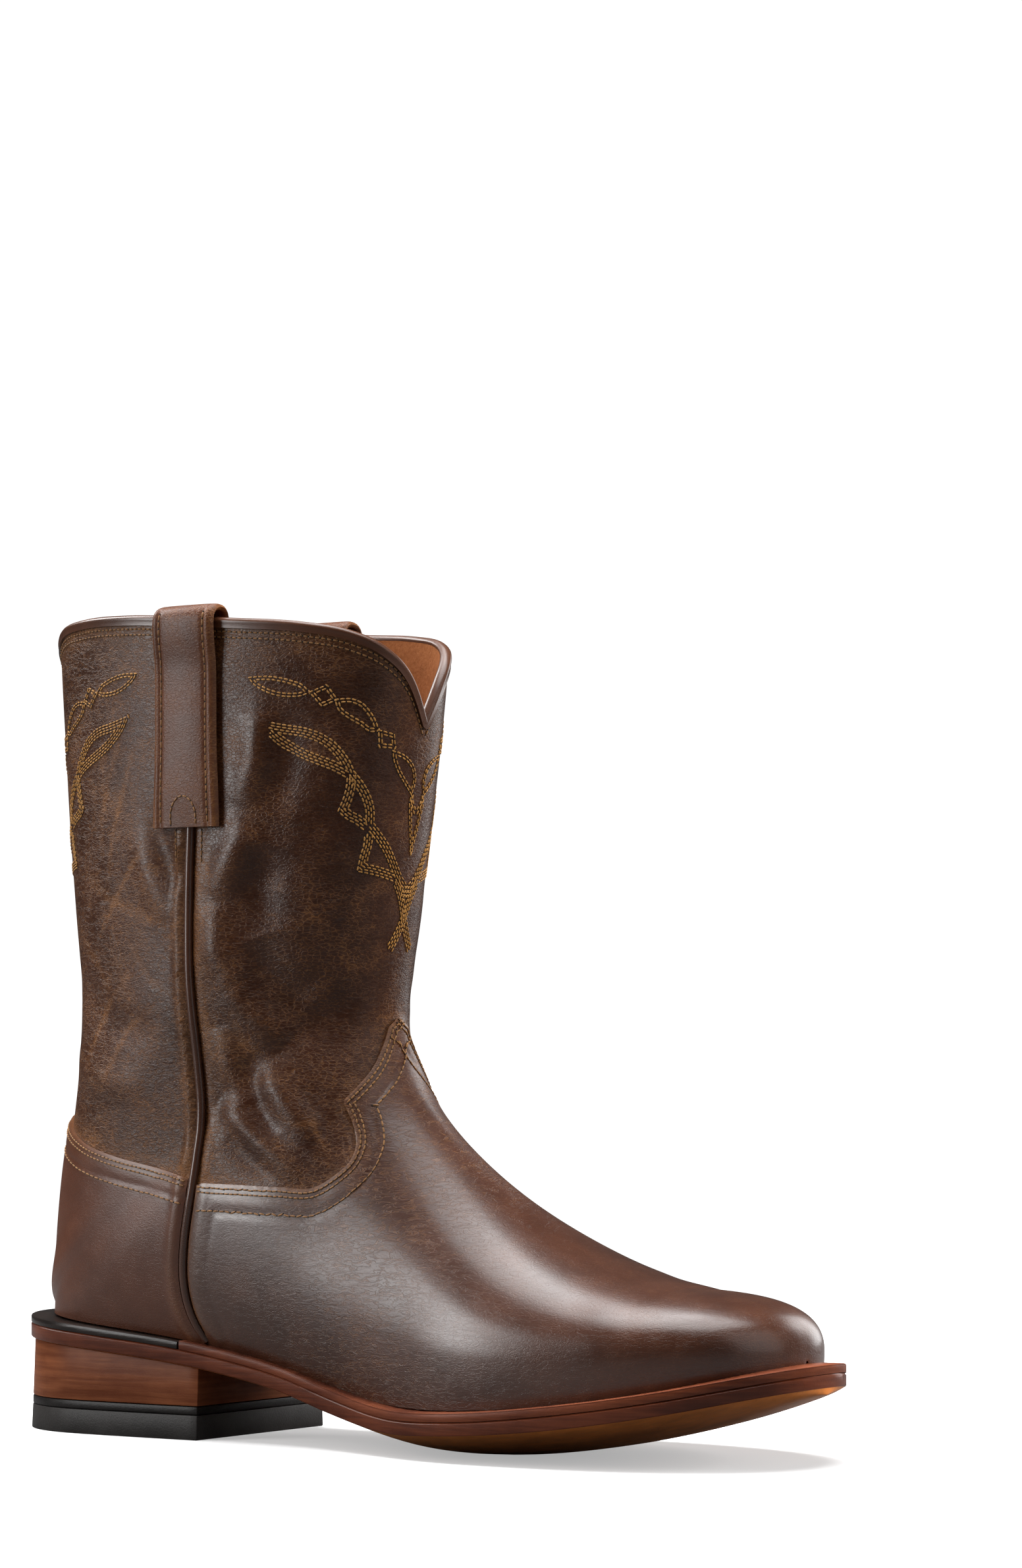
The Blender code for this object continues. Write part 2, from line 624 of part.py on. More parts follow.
# Side piping: a half round cord over the side seam
def build_piping(name, side):
    loops = []
    profile = [(PIPING_HALF * math.cos(a), PIPING_CLEAR + (PIPING_RISE - PIPING_CLEAR) * math.sin(a))
               for a in np.linspace(0, math.pi, 6)]
    for z in np.linspace(PIPING_FOOT_Z, STRAP_OUTER_Z - 0.5, 20):
        here, normal = side_frame(float(seam_x(z)), z, side)
        ahead = side_frame(float(seam_x(z + 1.0)), z + 1.0, side)[0] - here
        across = np.cross(ahead, normal)
        across /= np.linalg.norm(across)
        loops.append([here + across * u + normal * v for u, v in profile])
    return finish(name, *strip_loops(loops, caps=True), (0.05, 0.022, 0.014), 0.3)


# Pull strap: a flat band from the outside of the shaft over the collar to the inside
def build_strap(name, side):
    top = collar_z(0.5)
    rise = STRAP_LIFT - STRAP_THICK
    span = (BINDING_THICK + 2 * FIT_GAP + 0.4, -WALL - BINDING_CLEAR - BINDING_THICK - FIT_GAP - 0.4)
    middle, reach = (span[0] + span[1]) / 2, (span[0] - span[1]) / 2
    path = [(FIT_GAP, STRAP_OUTER_Z), (FIT_GAP, 222.0), (FIT_GAP, top - 14.0), (span[0], top - 5.0)]
    path += [(middle + reach * math.cos(a), top + rise * math.sin(a)) for a in np.linspace(0, math.pi, 7)]
    path += [(span[1], top - 5.0), (-WALL - FIT_GAP, top - 14.0), (-WALL - FIT_GAP, STRAP_INNER_Z)]
    path = np.array(path)
    along = np.gradient(path, axis=0)
    along /= np.linalg.norm(along, axis=1, keepdims=True)
    out = np.stack([along[:, 1], -along[:, 0]], -1) * STRAP_THICK
    loops = []
    for (n, z), (dn, dz) in zip(path, out):
        near, far = [], []
        for x in np.linspace(STRAP_X - STRAP_HALF, STRAP_X + STRAP_HALF, 5):
            here, normal = side_frame(x, min(z, top), side)
            lift = np.array([0.0, 0.0, z - min(z, top)])
            near.append(here + normal * n + lift)
            far.append(here + normal * (n + dn) + lift + np.array([0.0, 0.0, dz]))
        loops.append(near + far[::-1])
    return finish(name, *strip_loops(loops, caps=True), (0.06, 0.026, 0.016), 0.38)


# Collar binding: a strip folded over the collar edge
def build_binding():
    ring = [(side, share) for side in (-1, 1) for share in np.linspace(0, 1, AROUND_HALF + 1)]
    ring = ring[:AROUND_HALF + 1] + ring[:AROUND_HALF:-1][1:-1]
    edge, shares = [], []
    for side, share in ring:
        edge.append(skin_point(collar_place(side, share), side, share))
        shares.append((side, share))
    edge = np.array(edge)
    lower = np.array([skin_point(collar_place(s, q) - 0.25, s, q) for s, q in shares])
    up = edge - lower
    up /= np.linalg.norm(up, axis=1, keepdims=True)
    along = np.roll(edge, -1, axis=0) - np.roll(edge, 1, axis=0)
    normal = np.cross(along, up)
    normal /= np.linalg.norm(normal, axis=1, keepdims=True)
    if normal[AROUND_HALF] @ np.array([1.0, 0.0, 0.0]) < 0:
        normal = -normal
    rise = np.cross(normal, along)
    rise /= np.linalg.norm(rise, axis=1, keepdims=True)
    rise *= np.sign(rise[:, 2:3])
    near, far, deep = 1.5 * FIT_GAP, 1.5 * FIT_GAP + BINDING_THICK, WALL + BINDING_CLEAR
    crest, back = BINDING_SEAT + BINDING_THICK, -deep - BINDING_THICK
    profile = [(near, -BINDING_LEG), (far, -BINDING_LEG), (far, 0.7), (near, crest), (-deep, crest),
               (back, 0.7), (back, -BINDING_INNER_LEG), (-deep, -BINDING_INNER_LEG), (-deep, BINDING_SEAT),
               (near, BINDING_SEAT)]
    loops = [[e + n * u + r * v for u, v in profile] for e, n, r in zip(edge, normal, rise)]
    return finish("collar_binding", *strip_loops(loops + loops[:1]), (0.05, 0.022, 0.014), 0.3)


build_upper()
build_overlay("vamp", vamp_outline(), (0.085, 0.034, 0.020))
build_overlay("counter", counter_outline(), (0.075, 0.032, 0.018))
build_piping("side_piping_lateral", -1)
build_piping("side_piping_medial", 1)
build_strap("pull_strap_lateral", -1)
build_strap("pull_strap_medial", 1)
build_binding()
build_insole()
build_outsole()
WELT_Q, RAND_Q = q_at(WELT_START_X), q_at(WELT_START_X - 0.6)
build_edge_strip("welt", WELT_Q, 1 - WELT_Q, WELT_WIDTH, SEAT_GAP, (0.19, 0.07, 0.035))
build_edge_strip("heel_rand", -RAND_Q, RAND_Q, RAND_WIDTH, 2 * SEAT_GAP, (0.03, 0.022, 0.02))
LIFT_LOW = CAP_HEIGHT + LAYER_GAP
LIFT_HIGH = LIFT_LOW + LIFT_HEIGHT
STACK_LOW = LIFT_HIGH + LAYER_GAP
build_heel_layer("heel_stack", lambda x: 0 * x + STACK_LOW, lambda x: outsole_edge(x) - 2 * LAYER_GAP,
                 (0.17, 0.085, 0.05), 0.5)
build_heel_layer("heel_lift", lambda x: 0 * x + LIFT_LOW, lambda x: 0 * x + LIFT_HIGH,
                 (0.02, 0.018, 0.018), 0.4)
build_heel_layer("heel_cap", lambda x: 0 * x, lambda x: 0 * x + CAP_HEIGHT, (0.018, 0.018, 0.018), 0.7)

# Frame: origin at the bottom centre of the whole boot
corners = np.array([v.co for thing in bpy.data.objects for v in thing.data.vertices])
shift = (corners.min(axis=0) + corners.max(axis=0)) / 2
for thing in bpy.data.objects:
    for v in thing.data.vertices:
        v.co.x -= shift[0]
        v.co.y -= shift[1]
        v.co.z -= corners[:, 2].min()
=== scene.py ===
"""A right western boot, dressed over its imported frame: leather, seams, stitching, welt, sole and heel."""
import logging
import math
from dataclasses import dataclass, field
from enum import Enum
from functools import cached_property

import bpy
import numpy as np
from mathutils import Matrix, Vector
from mathutils.bvhtree import BVHTree


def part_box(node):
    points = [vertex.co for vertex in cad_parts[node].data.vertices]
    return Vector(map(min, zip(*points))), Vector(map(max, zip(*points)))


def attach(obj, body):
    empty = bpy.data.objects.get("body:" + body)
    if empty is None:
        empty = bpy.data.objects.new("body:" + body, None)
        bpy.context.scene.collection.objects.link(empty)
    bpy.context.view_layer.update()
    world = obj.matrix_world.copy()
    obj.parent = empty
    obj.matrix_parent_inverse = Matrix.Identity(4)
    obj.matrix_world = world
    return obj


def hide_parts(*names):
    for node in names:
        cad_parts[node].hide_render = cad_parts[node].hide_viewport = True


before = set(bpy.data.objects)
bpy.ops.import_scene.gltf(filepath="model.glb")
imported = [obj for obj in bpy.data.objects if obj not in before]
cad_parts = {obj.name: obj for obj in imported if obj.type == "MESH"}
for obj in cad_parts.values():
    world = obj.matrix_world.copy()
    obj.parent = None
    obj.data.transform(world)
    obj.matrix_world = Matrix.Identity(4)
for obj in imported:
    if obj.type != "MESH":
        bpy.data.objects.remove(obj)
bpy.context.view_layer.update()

log = logging.getLogger("boot")
MM = 0.001
Array = np.ndarray
Rows = tuple[tuple[float, ...], ...]
Colour = tuple[float, float, float]


class Side(Enum):
    """Outer or inner side of the foot, as the sign of y."""

    LATERAL = -1
    MEDIAL = 1

    @property
    def other(self) -> "Side":
        """The opposite side."""
        return Side(-self.value)


def ease(u: Array) -> Array:
    """Step from 0 to 1 with level ends."""
    u = np.clip(u, 0.0, 1.0)
    return u * u * (3 - 2 * u)


def bell(u: Array, middle: float, width: float) -> Array:
    """Bump of height 1 round a middle."""
    return np.exp(-((u - middle) / width) ** 2)


def curve(rows: Rows, column: int, at: Array) -> Array:
    """Smooth value of a table column.

    Args:
        rows: table whose first column rises.
        column: column to read.
        at: places in the first column.

    Returns:
        One value for each place.
    """
    keys = np.array([row[0] for row in rows], float)
    values = np.array([row[column] for row in rows], float)
    slopes = np.gradient(values, keys)
    at = np.clip(np.asarray(at, float), keys[0], keys[-1])
    low = np.clip(np.searchsorted(keys, at, side="right") - 1, 0, len(keys) - 2)
    step = keys[low + 1] - keys[low]
    u = (at - keys[low]) / step
    return (values[low] * (1 + 2 * u) * (1 - u) ** 2 + slopes[low] * step * u * (1 - u) ** 2
            + values[low + 1] * u * u * (3 - 2 * u) + slopes[low + 1] * step * u * u * (u - 1))


def unit(vectors: Array) -> Array:
    """Vectors scaled to length 1."""
    return vectors / np.maximum(np.linalg.norm(vectors, axis=-1, keepdims=True), 1e-12)


def run_length(points: Array) -> Array:
    """Distance along a line of points, from its start."""
    return np.concatenate([[0.0], np.cumsum(np.linalg.norm(np.diff(points, axis=0), axis=1))])


def respace(points: Array, count: int) -> Array:
    """Points at equal steps along a line."""
    way = run_length(points)
    at = np.linspace(0.0, way[-1], count)
    return np.stack([np.interp(at, way, points[:, k]) for k in range(points.shape[1])], -1)


def settle(values: Array, passes: int, turn: bool = False) -> Array:
    """Draw values along a line to their neighbours, apart from the two ends.

    Args:
        values: one value or vector for each place.
        passes: how often they are drawn.
        turn: whether they are directions, kept at length 1.

    Returns:
        The settled values.
    """
    for _ in range(passes):
        mean = values[:-2] + 2 * values[1:-1] + values[2:]
        values[1:-1] = unit(mean) if turn else mean / 4
    return values


def grid_faces(rows: int, cols: int) -> Array:
    """Corners of the faces between rows and columns of points."""
    ids = np.arange(rows * cols).reshape(rows, cols)
    return np.stack([ids[:-1, :-1], ids[1:, :-1], ids[1:, 1:], ids[:-1, 1:]], -1)


def join_sides(halves: list[Array]) -> Array:
    """One surface from its lateral and medial halves, which meet at their last columns."""
    return np.concatenate([halves[0], halves[1][:, ::-1][:, 1:]], 1)


def line_distance(x: Array, z: Array, path: Array) -> tuple[Array, Array]:
    """Distance from points to a line of points in the side view.

    Args:
        x: lengths along the foot.
        z: heights.
        path: corners of the line.

    Returns:
        Distance, and share of the way along the line at the nearest place.
    """
    way = run_length(path)
    best = np.full(np.shape(x), 1e9)
    share = np.zeros(np.shape(x))
    for k in range(len(path) - 1):
        a, b = path[k], path[k + 1]
        span = b - a
        u = np.clip(((x - a[0]) * span[0] + (z - a[1]) * span[1]) / max(span @ span, 1e-9), 0, 1)
        gap = np.hypot(x - a[0] - u * span[0], z - a[1] - u * span[1])
        near = gap < best
        best = np.where(near, gap, best)
        share = np.where(near, (way[k] + u * (way[k + 1] - way[k])) / max(way[-1], 1e-9), share)
    return best, share


def inside(x: Array, z: Array, polygon: Array) -> Array:
    """True where points lie within a closed outline in the side view."""
    odd = np.zeros(np.shape(x), bool)
    for (x1, z1), (x2, z2) in zip(polygon, np.roll(polygon, -1, axis=0)):
        if z1 == z2:
            continue
        cross = ((z1 > z) != (z2 > z)) & (x < (x2 - x1) * (z - z1) / (z2 - z1) + x1)
        odd ^= cross
    return odd


@dataclass
class Last:
    """The foot form: sole outline, heights along it and sections of the upper, in mm from the heel back."""

    length: float = 306.0
    heel_centre: float = 40.0
    heel_half: float = 37.4
    heel_round: float = 2.3
    waist: dict[Side, tuple[float, float]] = field(
        default_factory=lambda: {Side.LATERAL: (119.0, 34.5), Side.MEDIAL: (127.0, 31.0)})
    ball: dict[Side, tuple[float, float]] = field(
        default_factory=lambda: {Side.LATERAL: (205.0, 55.0), Side.MEDIAL: (219.0, 50.5)})
    toe_round: float = 2.25
    toe_swing: float = 5.0
    breast_x: float = 88.5
    sole_names: tuple[str, ...] = ("x", "seat", "edge", "crown", "margin")
    sole_rows: Rows = (
        (0.0, 40.0, 4.9, 0.0, 10.2), (45.0, 36.8, 4.9, 0.0, 7.2), (85.0, 32.8, 4.9, 0.4, 5.6),
        (115.0, 27.5, 4.9, 1.6, 5.2), (145.0, 20.2, 4.9, 4.2, 6.2), (175.0, 15.8, 4.6, 7.6, 7.6),
        (200.0, 16.2, 4.3, 9.0, 8.2), (235.0, 19.5, 4.5, 8.0, 8.4), (270.0, 24.8, 4.4, 5.4, 8.6),
        (306.0, 32.4, 4.2, 2.0, 8.8),
    )
    # end x, end z, ridge x, ridge z, half width, where widest, roundness above, roundness below
    section_rows: Rows = (
        (257.0, 0.0, 257.0, 52.0, 0.0, 0.34, 2.40, 2.2), (233.0, 0.0, 233.0, 57.5, 0.0, 0.31, 2.25, 2.2),
        (211.0, 0.0, 211.0, 67.4, 0.0, 0.28, 2.10, 2.2), (189.0, 0.0, 189.0, 80.6, 0.0, 0.26, 1.95, 2.2),
        (169.0, 0.0, 169.0, 96.6, 31.0, 0.25, 1.88, 2.2), (147.0, 0.0, 156.2, 109.8, 34.0, 0.26, 1.88, 2.2),
        (122.0, 0.0, 149.4, 120.0, 35.0, 0.29, 1.92, 2.2), (93.0, 0.0, 146.4, 129.0, 36.0, 0.33, 1.98, 2.2),
        (62.0, 0.0, 145.0, 137.5, 36.0, 0.38, 2.05, 2.2), (33.0, 0.0, 144.8, 145.0, 36.0, 0.42, 2.10, 2.35),
        (10.2, 0.0, 145.2, 151.5, 35.5, 0.45, 2.15, 2.5), (10.4, 58.0, 145.7, 157.5, 35.5, 0.47, 2.20, 2.5),
        (12.2, 80.5, 146.4, 163.5, 36.0, 0.48, 2.20, 2.4), (15.8, 103.5, 147.2, 170.0, 37.0, 0.49, 2.20, 2.3),
        (18.4, 126.5, 148.2, 177.5, 37.5, 0.50, 2.20, 2.25), (18.0, 150.0, 149.5, 187.0, 37.5, 0.50, 2.20, 2.2),
        (15.8, 175.0, 151.3, 199.5, 37.5, 0.50, 2.25, 2.25), (13.4, 203.0, 153.7, 215.5, 37.5, 0.50, 2.30, 2.3),
        (11.2, 231.0, 156.2, 234.5, 37.5, 0.50, 2.35, 2.3), (9.2, 258.0, 158.6, 258.0, 37.5, 0.50, 2.40, 2.3),
        (7.8, 286.0, 160.8, 286.0, 37.5, 0.50, 2.40, 2.3),
    )
    heel_row: int = 10
    shaft_row: float = 14.0
    toe_bulge: float = 0.035
    toe_top_round: float = 3.4
    toe_top_drop: float = 2.5
    collar_rows: Rows = (
        (0.0, 254.0), (0.08, 264.8), (0.15, 270.4), (0.24, 272.2), (0.36, 272.0), (0.50, 270.2), (0.62, 268.4),
        (0.75, 266.2), (0.84, 263.0), (0.90, 258.0), (0.95, 250.0), (1.0, 235.4),
    )
    seam_rows: Rows = (
        (28.0, 92.6), (40.0, 86.8), (52.0, 85.0), (64.0, 86.0), (84.0, 89.4), (105.0, 90.8), (130.0, 89.4),
        (155.0, 87.8), (180.0, 87.8), (203.0, 88.6),
    )
    vamp_side: Rows = ((107.0, 84.6), (124.0, 84.1))
    vamp_runs: tuple[Rows, ...] = (
        ((0.537, 84.2), (0.606, 88.4), (0.660, 92.3), (0.710, 97.5), (0.737, 102.3), (0.753, 106.9), (0.764, 111.7)),
        ((0.764, 111.7), (0.822, 116.6), (0.880, 122.0), (0.938, 130.1), (0.954, 133.4), (0.965, 136.2)),
        ((0.965, 136.2), (0.985, 138.2), (1.0, 139.9)),
    )
    wrap_half: float = 30.0
    counter_edge: Rows = ((70.0, 90.2), (55.0, 93.0), (38.0, 97.4), (26.0, 102.4), (16.0, 108.0))
    welt_drop: float = 3.55
    seam_gap: float = 2.0
    vamp_start: float = 85.0
    samples: int = 170
    outline_half: int = 720
    grid_shares: int = 200

    def __post_init__(self) -> None:
        """Work out the feather line, the section table and the place of the frame's origin."""
        q = np.linspace(0.0, 1.0, 2 * self.outline_half + 1)
        rim = self.outline(q)
        self.edge_line = self.outline(q, self.sole("margin", rim[:, 0]))
        self.feather_back, self.feather_tip = self.edge_line[0, 0], self.edge_line[self.outline_half, 0]
        self.table = np.array(self.section_rows)
        self.table[self.heel_row, 0] = self.feather_back
        self.table[:self.heel_row + 1, 1] = self.sole("seat", self.table[:self.heel_row + 1, 0])
        self.last_row = len(self.table) - 1
        self.grids: dict[Side, Array] = {}
        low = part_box("outsole")[0]
        self.origin = np.array([-low[0] / MM, rim[:, 1].min() - low[1] / MM, 0.0])

    def metres(self, points: Array) -> Array:
        """Points in mm from the heel back as points of the frame."""
        return (np.asarray(points, float) - self.origin) * MM

    def design(self, points: Array) -> Array:
        """Points of the frame as points in mm from the heel back."""
        return points / MM + self.origin

    def sole_half(self, x: Array, side: Side) -> Array:
        """Half width of the sole at x on one side."""
        x = np.clip(np.asarray(x, float), 0.0, self.length)
        (waist, waist_half), (ball, ball_half) = self.waist[side], self.ball[side]
        behind = np.clip((self.heel_centre - x) / self.heel_centre, 0, 1)
        heel = self.heel_half * (1 - behind ** self.heel_round) ** (1 / self.heel_round)
        heel = heel + (waist_half - self.heel_half) * ease((x - self.heel_centre) / (waist - self.heel_centre))
        fore = heel + (ball_half - waist_half) * ease((x - waist) / (ball - waist))
        ahead = np.clip((x - ball) / (self.length - ball), 0, 1)
        return fore * (1 - ahead ** self.toe_round) ** (1 / self.toe_round)

    def outline(self, q: Array, inset: Array | float = 0.0) -> Array:
        """Points of the sole outline.

        Args:
            q: 0 to 1 from the heel back by the lateral side, the toe and the medial side.
            inset: distance inwards from the outline.

        Returns:
            x and y of each point.
        """
        q = np.asarray(q, float)

        def edge(place: Array) -> Array:
            """Outline without inset."""
            x = self.length / 2 * (1 - np.cos(2 * math.pi * place))
            swing = self.toe_swing * ease((x - self.heel_centre) / (self.length - self.heel_centre))
            half = np.where(place % 1.0 < 0.5, -self.sole_half(x, Side.LATERAL), self.sole_half(x, Side.MEDIAL))
            return np.stack([x, swing + half], -1)

        along = unit(edge(q + 1e-4) - edge(q - 1e-4))
        inward = np.stack([-along[:, 1], along[:, 0]], -1)
        return edge(q) + inward * np.reshape(inset, (-1, 1))

    def q_at(self, x: float) -> float:
        """Outline place on the lateral side at x."""
        return math.acos(1 - 2 * x / self.length) / (2 * math.pi)

    def sole(self, name: str, x: Array) -> Array:
        """One column of the sole table at x."""
        return curve(self.sole_rows, self.sole_names.index(name), x)

    def outsole_top(self, x: Array) -> Array:
        """Top of the outsole, below the welt."""
        return self.sole("seat", x) - self.welt_drop

    def outsole_edge(self, x: Array) -> Array:
        """Bottom edge of the outsole side."""
        return self.outsole_top(x) - self.sole("edge", x)

    def feather(self, x: Array, side: Side) -> Array:
        """y of the bottom edge of the upper at x."""
        half = self.outline_half
        part = self.edge_line[:half + 1] if side is Side.LATERAL else self.edge_line[:half - 1:-1]
        return np.interp(x, np.maximum.accumulate(part[:, 0]), part[:, 1])

    def sections(self, places: Array) -> Array:
        """Section sizes at places: below 0 is the toe, 0 and up are the table rows."""
        places = np.asarray(places, float)
        table, last = self.table, self.last_row
        low = np.clip(np.floor(places).astype(int), 0, last - 1)
        u = np.maximum(places - low, 0.0)[:, None]
        a, b = table[low], table[low + 1]
        before = np.where((low > 0)[:, None], table[np.maximum(low - 1, 0)], 2 * a - b)
        after = np.where((low + 2 <= last)[:, None], table[np.minimum(low + 2, last)], 2 * b - a)
        rows = (a * (1 + 2 * u) * (1 - u) ** 2 + (b - before) / 2 * u * (1 - u) ** 2
                + b * u * u * (3 - 2 * u) + (after - a) / 2 * u * u * (u - 1))
        toe = places < 0
        ahead = np.sin(np.clip(-places, 0, 1) * math.pi / 2)
        x = table[0, 0] + (self.feather_tip - table[0, 0]) * ahead
        seat = self.sole("seat", x)
        rise = (table[0, 3] - self.toe_top_drop * ahead - seat)
        rise = rise * np.clip(1 - ahead ** self.toe_top_round, 0, 1) ** (1 / self.toe_top_round)
        rows[toe, 0] = rows[toe, 2] = x[toe]
        rows[toe, 1], rows[toe, 3] = seat[toe], (seat + rise)[toe]
        return rows

    def arcs(self, places: Array, side: Side) -> Array:
        """Dense points of sections on one side, each from its end to its ridge."""
        places = np.asarray(places, float)
        cells = [cell[:, None] for cell in self.sections(places).T]
        end_x, end_z, ridge_x, ridge_z, half, widest, top_round, low_round = cells
        fan = places[:, None] < self.heel_row
        left, right = self.feather(end_x, Side.LATERAL), self.feather(end_x, Side.MEDIAL)
        middle, base = np.where(fan, (left + right) / 2, 0.0), np.where(fan, (right - left) / 2, 0.0)
        end_z = np.where(fan, self.sole("seat", end_x), end_z)
        wide = ((base * (1 + self.toe_bulge)) ** 8 + np.maximum(half, 0.0) ** 8) ** 0.125 + 1e-6
        start = np.arccos(np.minimum(base / wide, 1.0) ** (low_round / 2))
        reach = widest / np.maximum(np.sin(start), 1e-6) ** (2 / low_round)
        low = start * np.linspace(1.0, 0.0, self.samples)[None]
        high = np.linspace(0.0, math.pi / 2, self.samples)[None, 1:]
        t = np.concatenate([widest - reach * np.sin(low) ** (2 / low_round),
                            widest + (1 - widest) * np.sin(high) ** (2 / top_round)], 1)
        w = np.concatenate([wide * np.cos(low) ** (2 / low_round),
                            wide * np.clip(np.cos(high), 0, 1) ** (2 / top_round)], 1)
        w[:, -1] = 0.0
        return np.stack([end_x + (ridge_x - end_x) * t, middle + side.value * w,
                         end_z + (ridge_z - end_z) * t], -1)

    def points(self, places: Array, side: Side, shares: Array) -> Array:
        """Surface points on sections at shares of the way from each end to its ridge."""
        arcs = self.arcs(places, side)
        out = np.empty((len(arcs), len(shares), 3))
        for k, arc in enumerate(arcs):
            way = run_length(arc)
            for axis in range(3):
                out[k, :, axis] = np.interp(np.asarray(shares) * way[-1], way, arc[:, axis])
        return out

    def collar_z(self, share: Array) -> Array:
        """Height of the collar edge; share 0 at the back, 1 at the front."""
        return curve(self.collar_rows, 1, share)

    def seam_x(self, z: Array) -> Array:
        """Side seam seen from the side."""
        return curve(self.seam_rows, 1, z)

    def shaft(self, side: Side, shares: Array, rows: int, drop: float = 0.0) -> Array:
        """Shaft points from the top of the foot part to the collar edge.

        Args:
            side: side of the foot.
            shares: places from the back to the front.
            rows: number of rows.
            drop: distance of the last row below the collar edge.

        Returns:
            Points by row and share.
        """
        places = np.linspace(self.shaft_row, self.last_row, 260)
        dense = self.points(places, side, shares)
        out = np.empty((rows, len(shares), 3))
        for j, share in enumerate(shares):
            heights = dense[:, j, 2]
            top = np.interp(self.collar_z(share) - drop, heights, places)
            at = np.linspace(self.shaft_row, top, rows)
            for axis in range(3):
                out[:, j, axis] = np.interp(at, places, dense[:, j, axis])
        return out

    def grid(self, side: Side) -> Array:
        """Dense surface points by section and share, worked out once for each side."""
        if side not in self.grids:
            self.grids[side] = self.points(np.linspace(2.5, self.last_row, 340), side,
                                           np.linspace(0, 1, self.grid_shares + 1))
        return self.grids[side]

    def around(self, side: Side, share: Array, z: Array) -> Array:
        """Surface points at shares from back to front and heights; shares past 1 run on over the front."""
        out = []
        for s, h in zip(np.ravel(share), np.ravel(z)):
            dense, s = (self.grid(side), s) if s <= 1 else (self.grid(side.other), 2 - s)
            at = s * self.grid_shares
            k = min(int(at), self.grid_shares - 1)
            column = dense[:, k] + (dense[:, k + 1] - dense[:, k]) * (at - k)
            out.append([np.interp(h, column[:, 2], column[:, axis]) for axis in range(3)])
        return np.array(out)

    def unroll(self, points: Array) -> tuple[Array, Array]:
        """Side view with the front laid out flat: x with the wrap added, and z."""
        return points[..., 0] + np.maximum(self.wrap_half - np.abs(points[..., 1]), 0.0), points[..., 2]

    @cached_property
    def bare(self) -> "Ground":
        """Smooth surface of the upper without creases."""
        shares = np.linspace(0.0, 1.0, 81)
        places = np.concatenate([np.linspace(5.0, 9.5, 60), np.linspace(10.5, self.last_row, 140)])
        points, faces = [], []
        for side in Side:
            part = self.metres(self.points(places, side, shares))
            quads = grid_faces(*part.shape[:2]).reshape(-1, 4) + len(points)
            points += [Vector(p) for p in part.reshape(-1, 3)]
            faces += (quads if side is Side.MEDIAL else quads[:, ::-1]).tolist()
        return Ground(points, faces)

    def vamp_edge(self, side: Side) -> Array:
        """Top edge of the vamp on the surface, from the side seam to the tip at the front."""
        first = [(float(self.seam_x(self.vamp_start)) + self.seam_gap, self.vamp_start), *self.vamp_side]
        spots = np.array([self.design(self.bare.side(self, x, z, side)[0]) for x, z in first])
        runs = [self.around(side, *np.array(run).T) for run in self.vamp_runs]
        runs[0] = np.concatenate([spots, runs[0]])
        return np.concatenate([smooth_line(run, 90) for run in runs])

    def vamp_outline(self, side: Side) -> Array:
        """Outline of the vamp ahead of the side seam, in the unrolled side view."""
        edge = np.stack(self.unroll(self.vamp_edge(side)), -1)
        heights = np.linspace(36.0, 84.0, 14)
        spots = [self.bare.side(self, float(self.seam_x(z)) + self.seam_gap, z, side)[0] for z in heights]
        seam = [np.stack(self.unroll(self.design(spot)), -1) for spot in spots]
        low = (seam[0][0] + 3.5, -50.0)
        return np.array([low, *seam, *edge, (500.0, edge[-1, 1]), (500.0, -50.0)])


def smooth_line(points: Array, count: int) -> Array:
    """Smooth curve through points, with equal steps.

    Args:
        points: points in the plane or in space.
        count: number of points returned.

    Returns:
        Points along the curve.
    """
    way = run_length(points)
    rows = tuple((w, *p) for w, p in zip(way, points))
    at = np.linspace(0, way[-1], 300)
    return respace(np.stack([curve(rows, k + 1, at) for k in range(points.shape[1])], -1), count)


@dataclass(frozen=True)
class Crease:
    """A soft trough or ridge in the leather, drawn in the side view in mm."""

    path: Rows
    width: float
    rise: float

    def lift(self, points: Array) -> Array:
        """Height that the crease adds at points of the surface, apart from those on the middle line."""
        gap, share = line_distance(points[..., 0], points[..., 2], np.array(self.path, float))
        fade = np.sin(np.clip(share, 0.02, 0.98) * math.pi) ** 0.6
        return self.rise * bell(gap, 0.0, self.width) * fade * (points[..., 1] != 0)


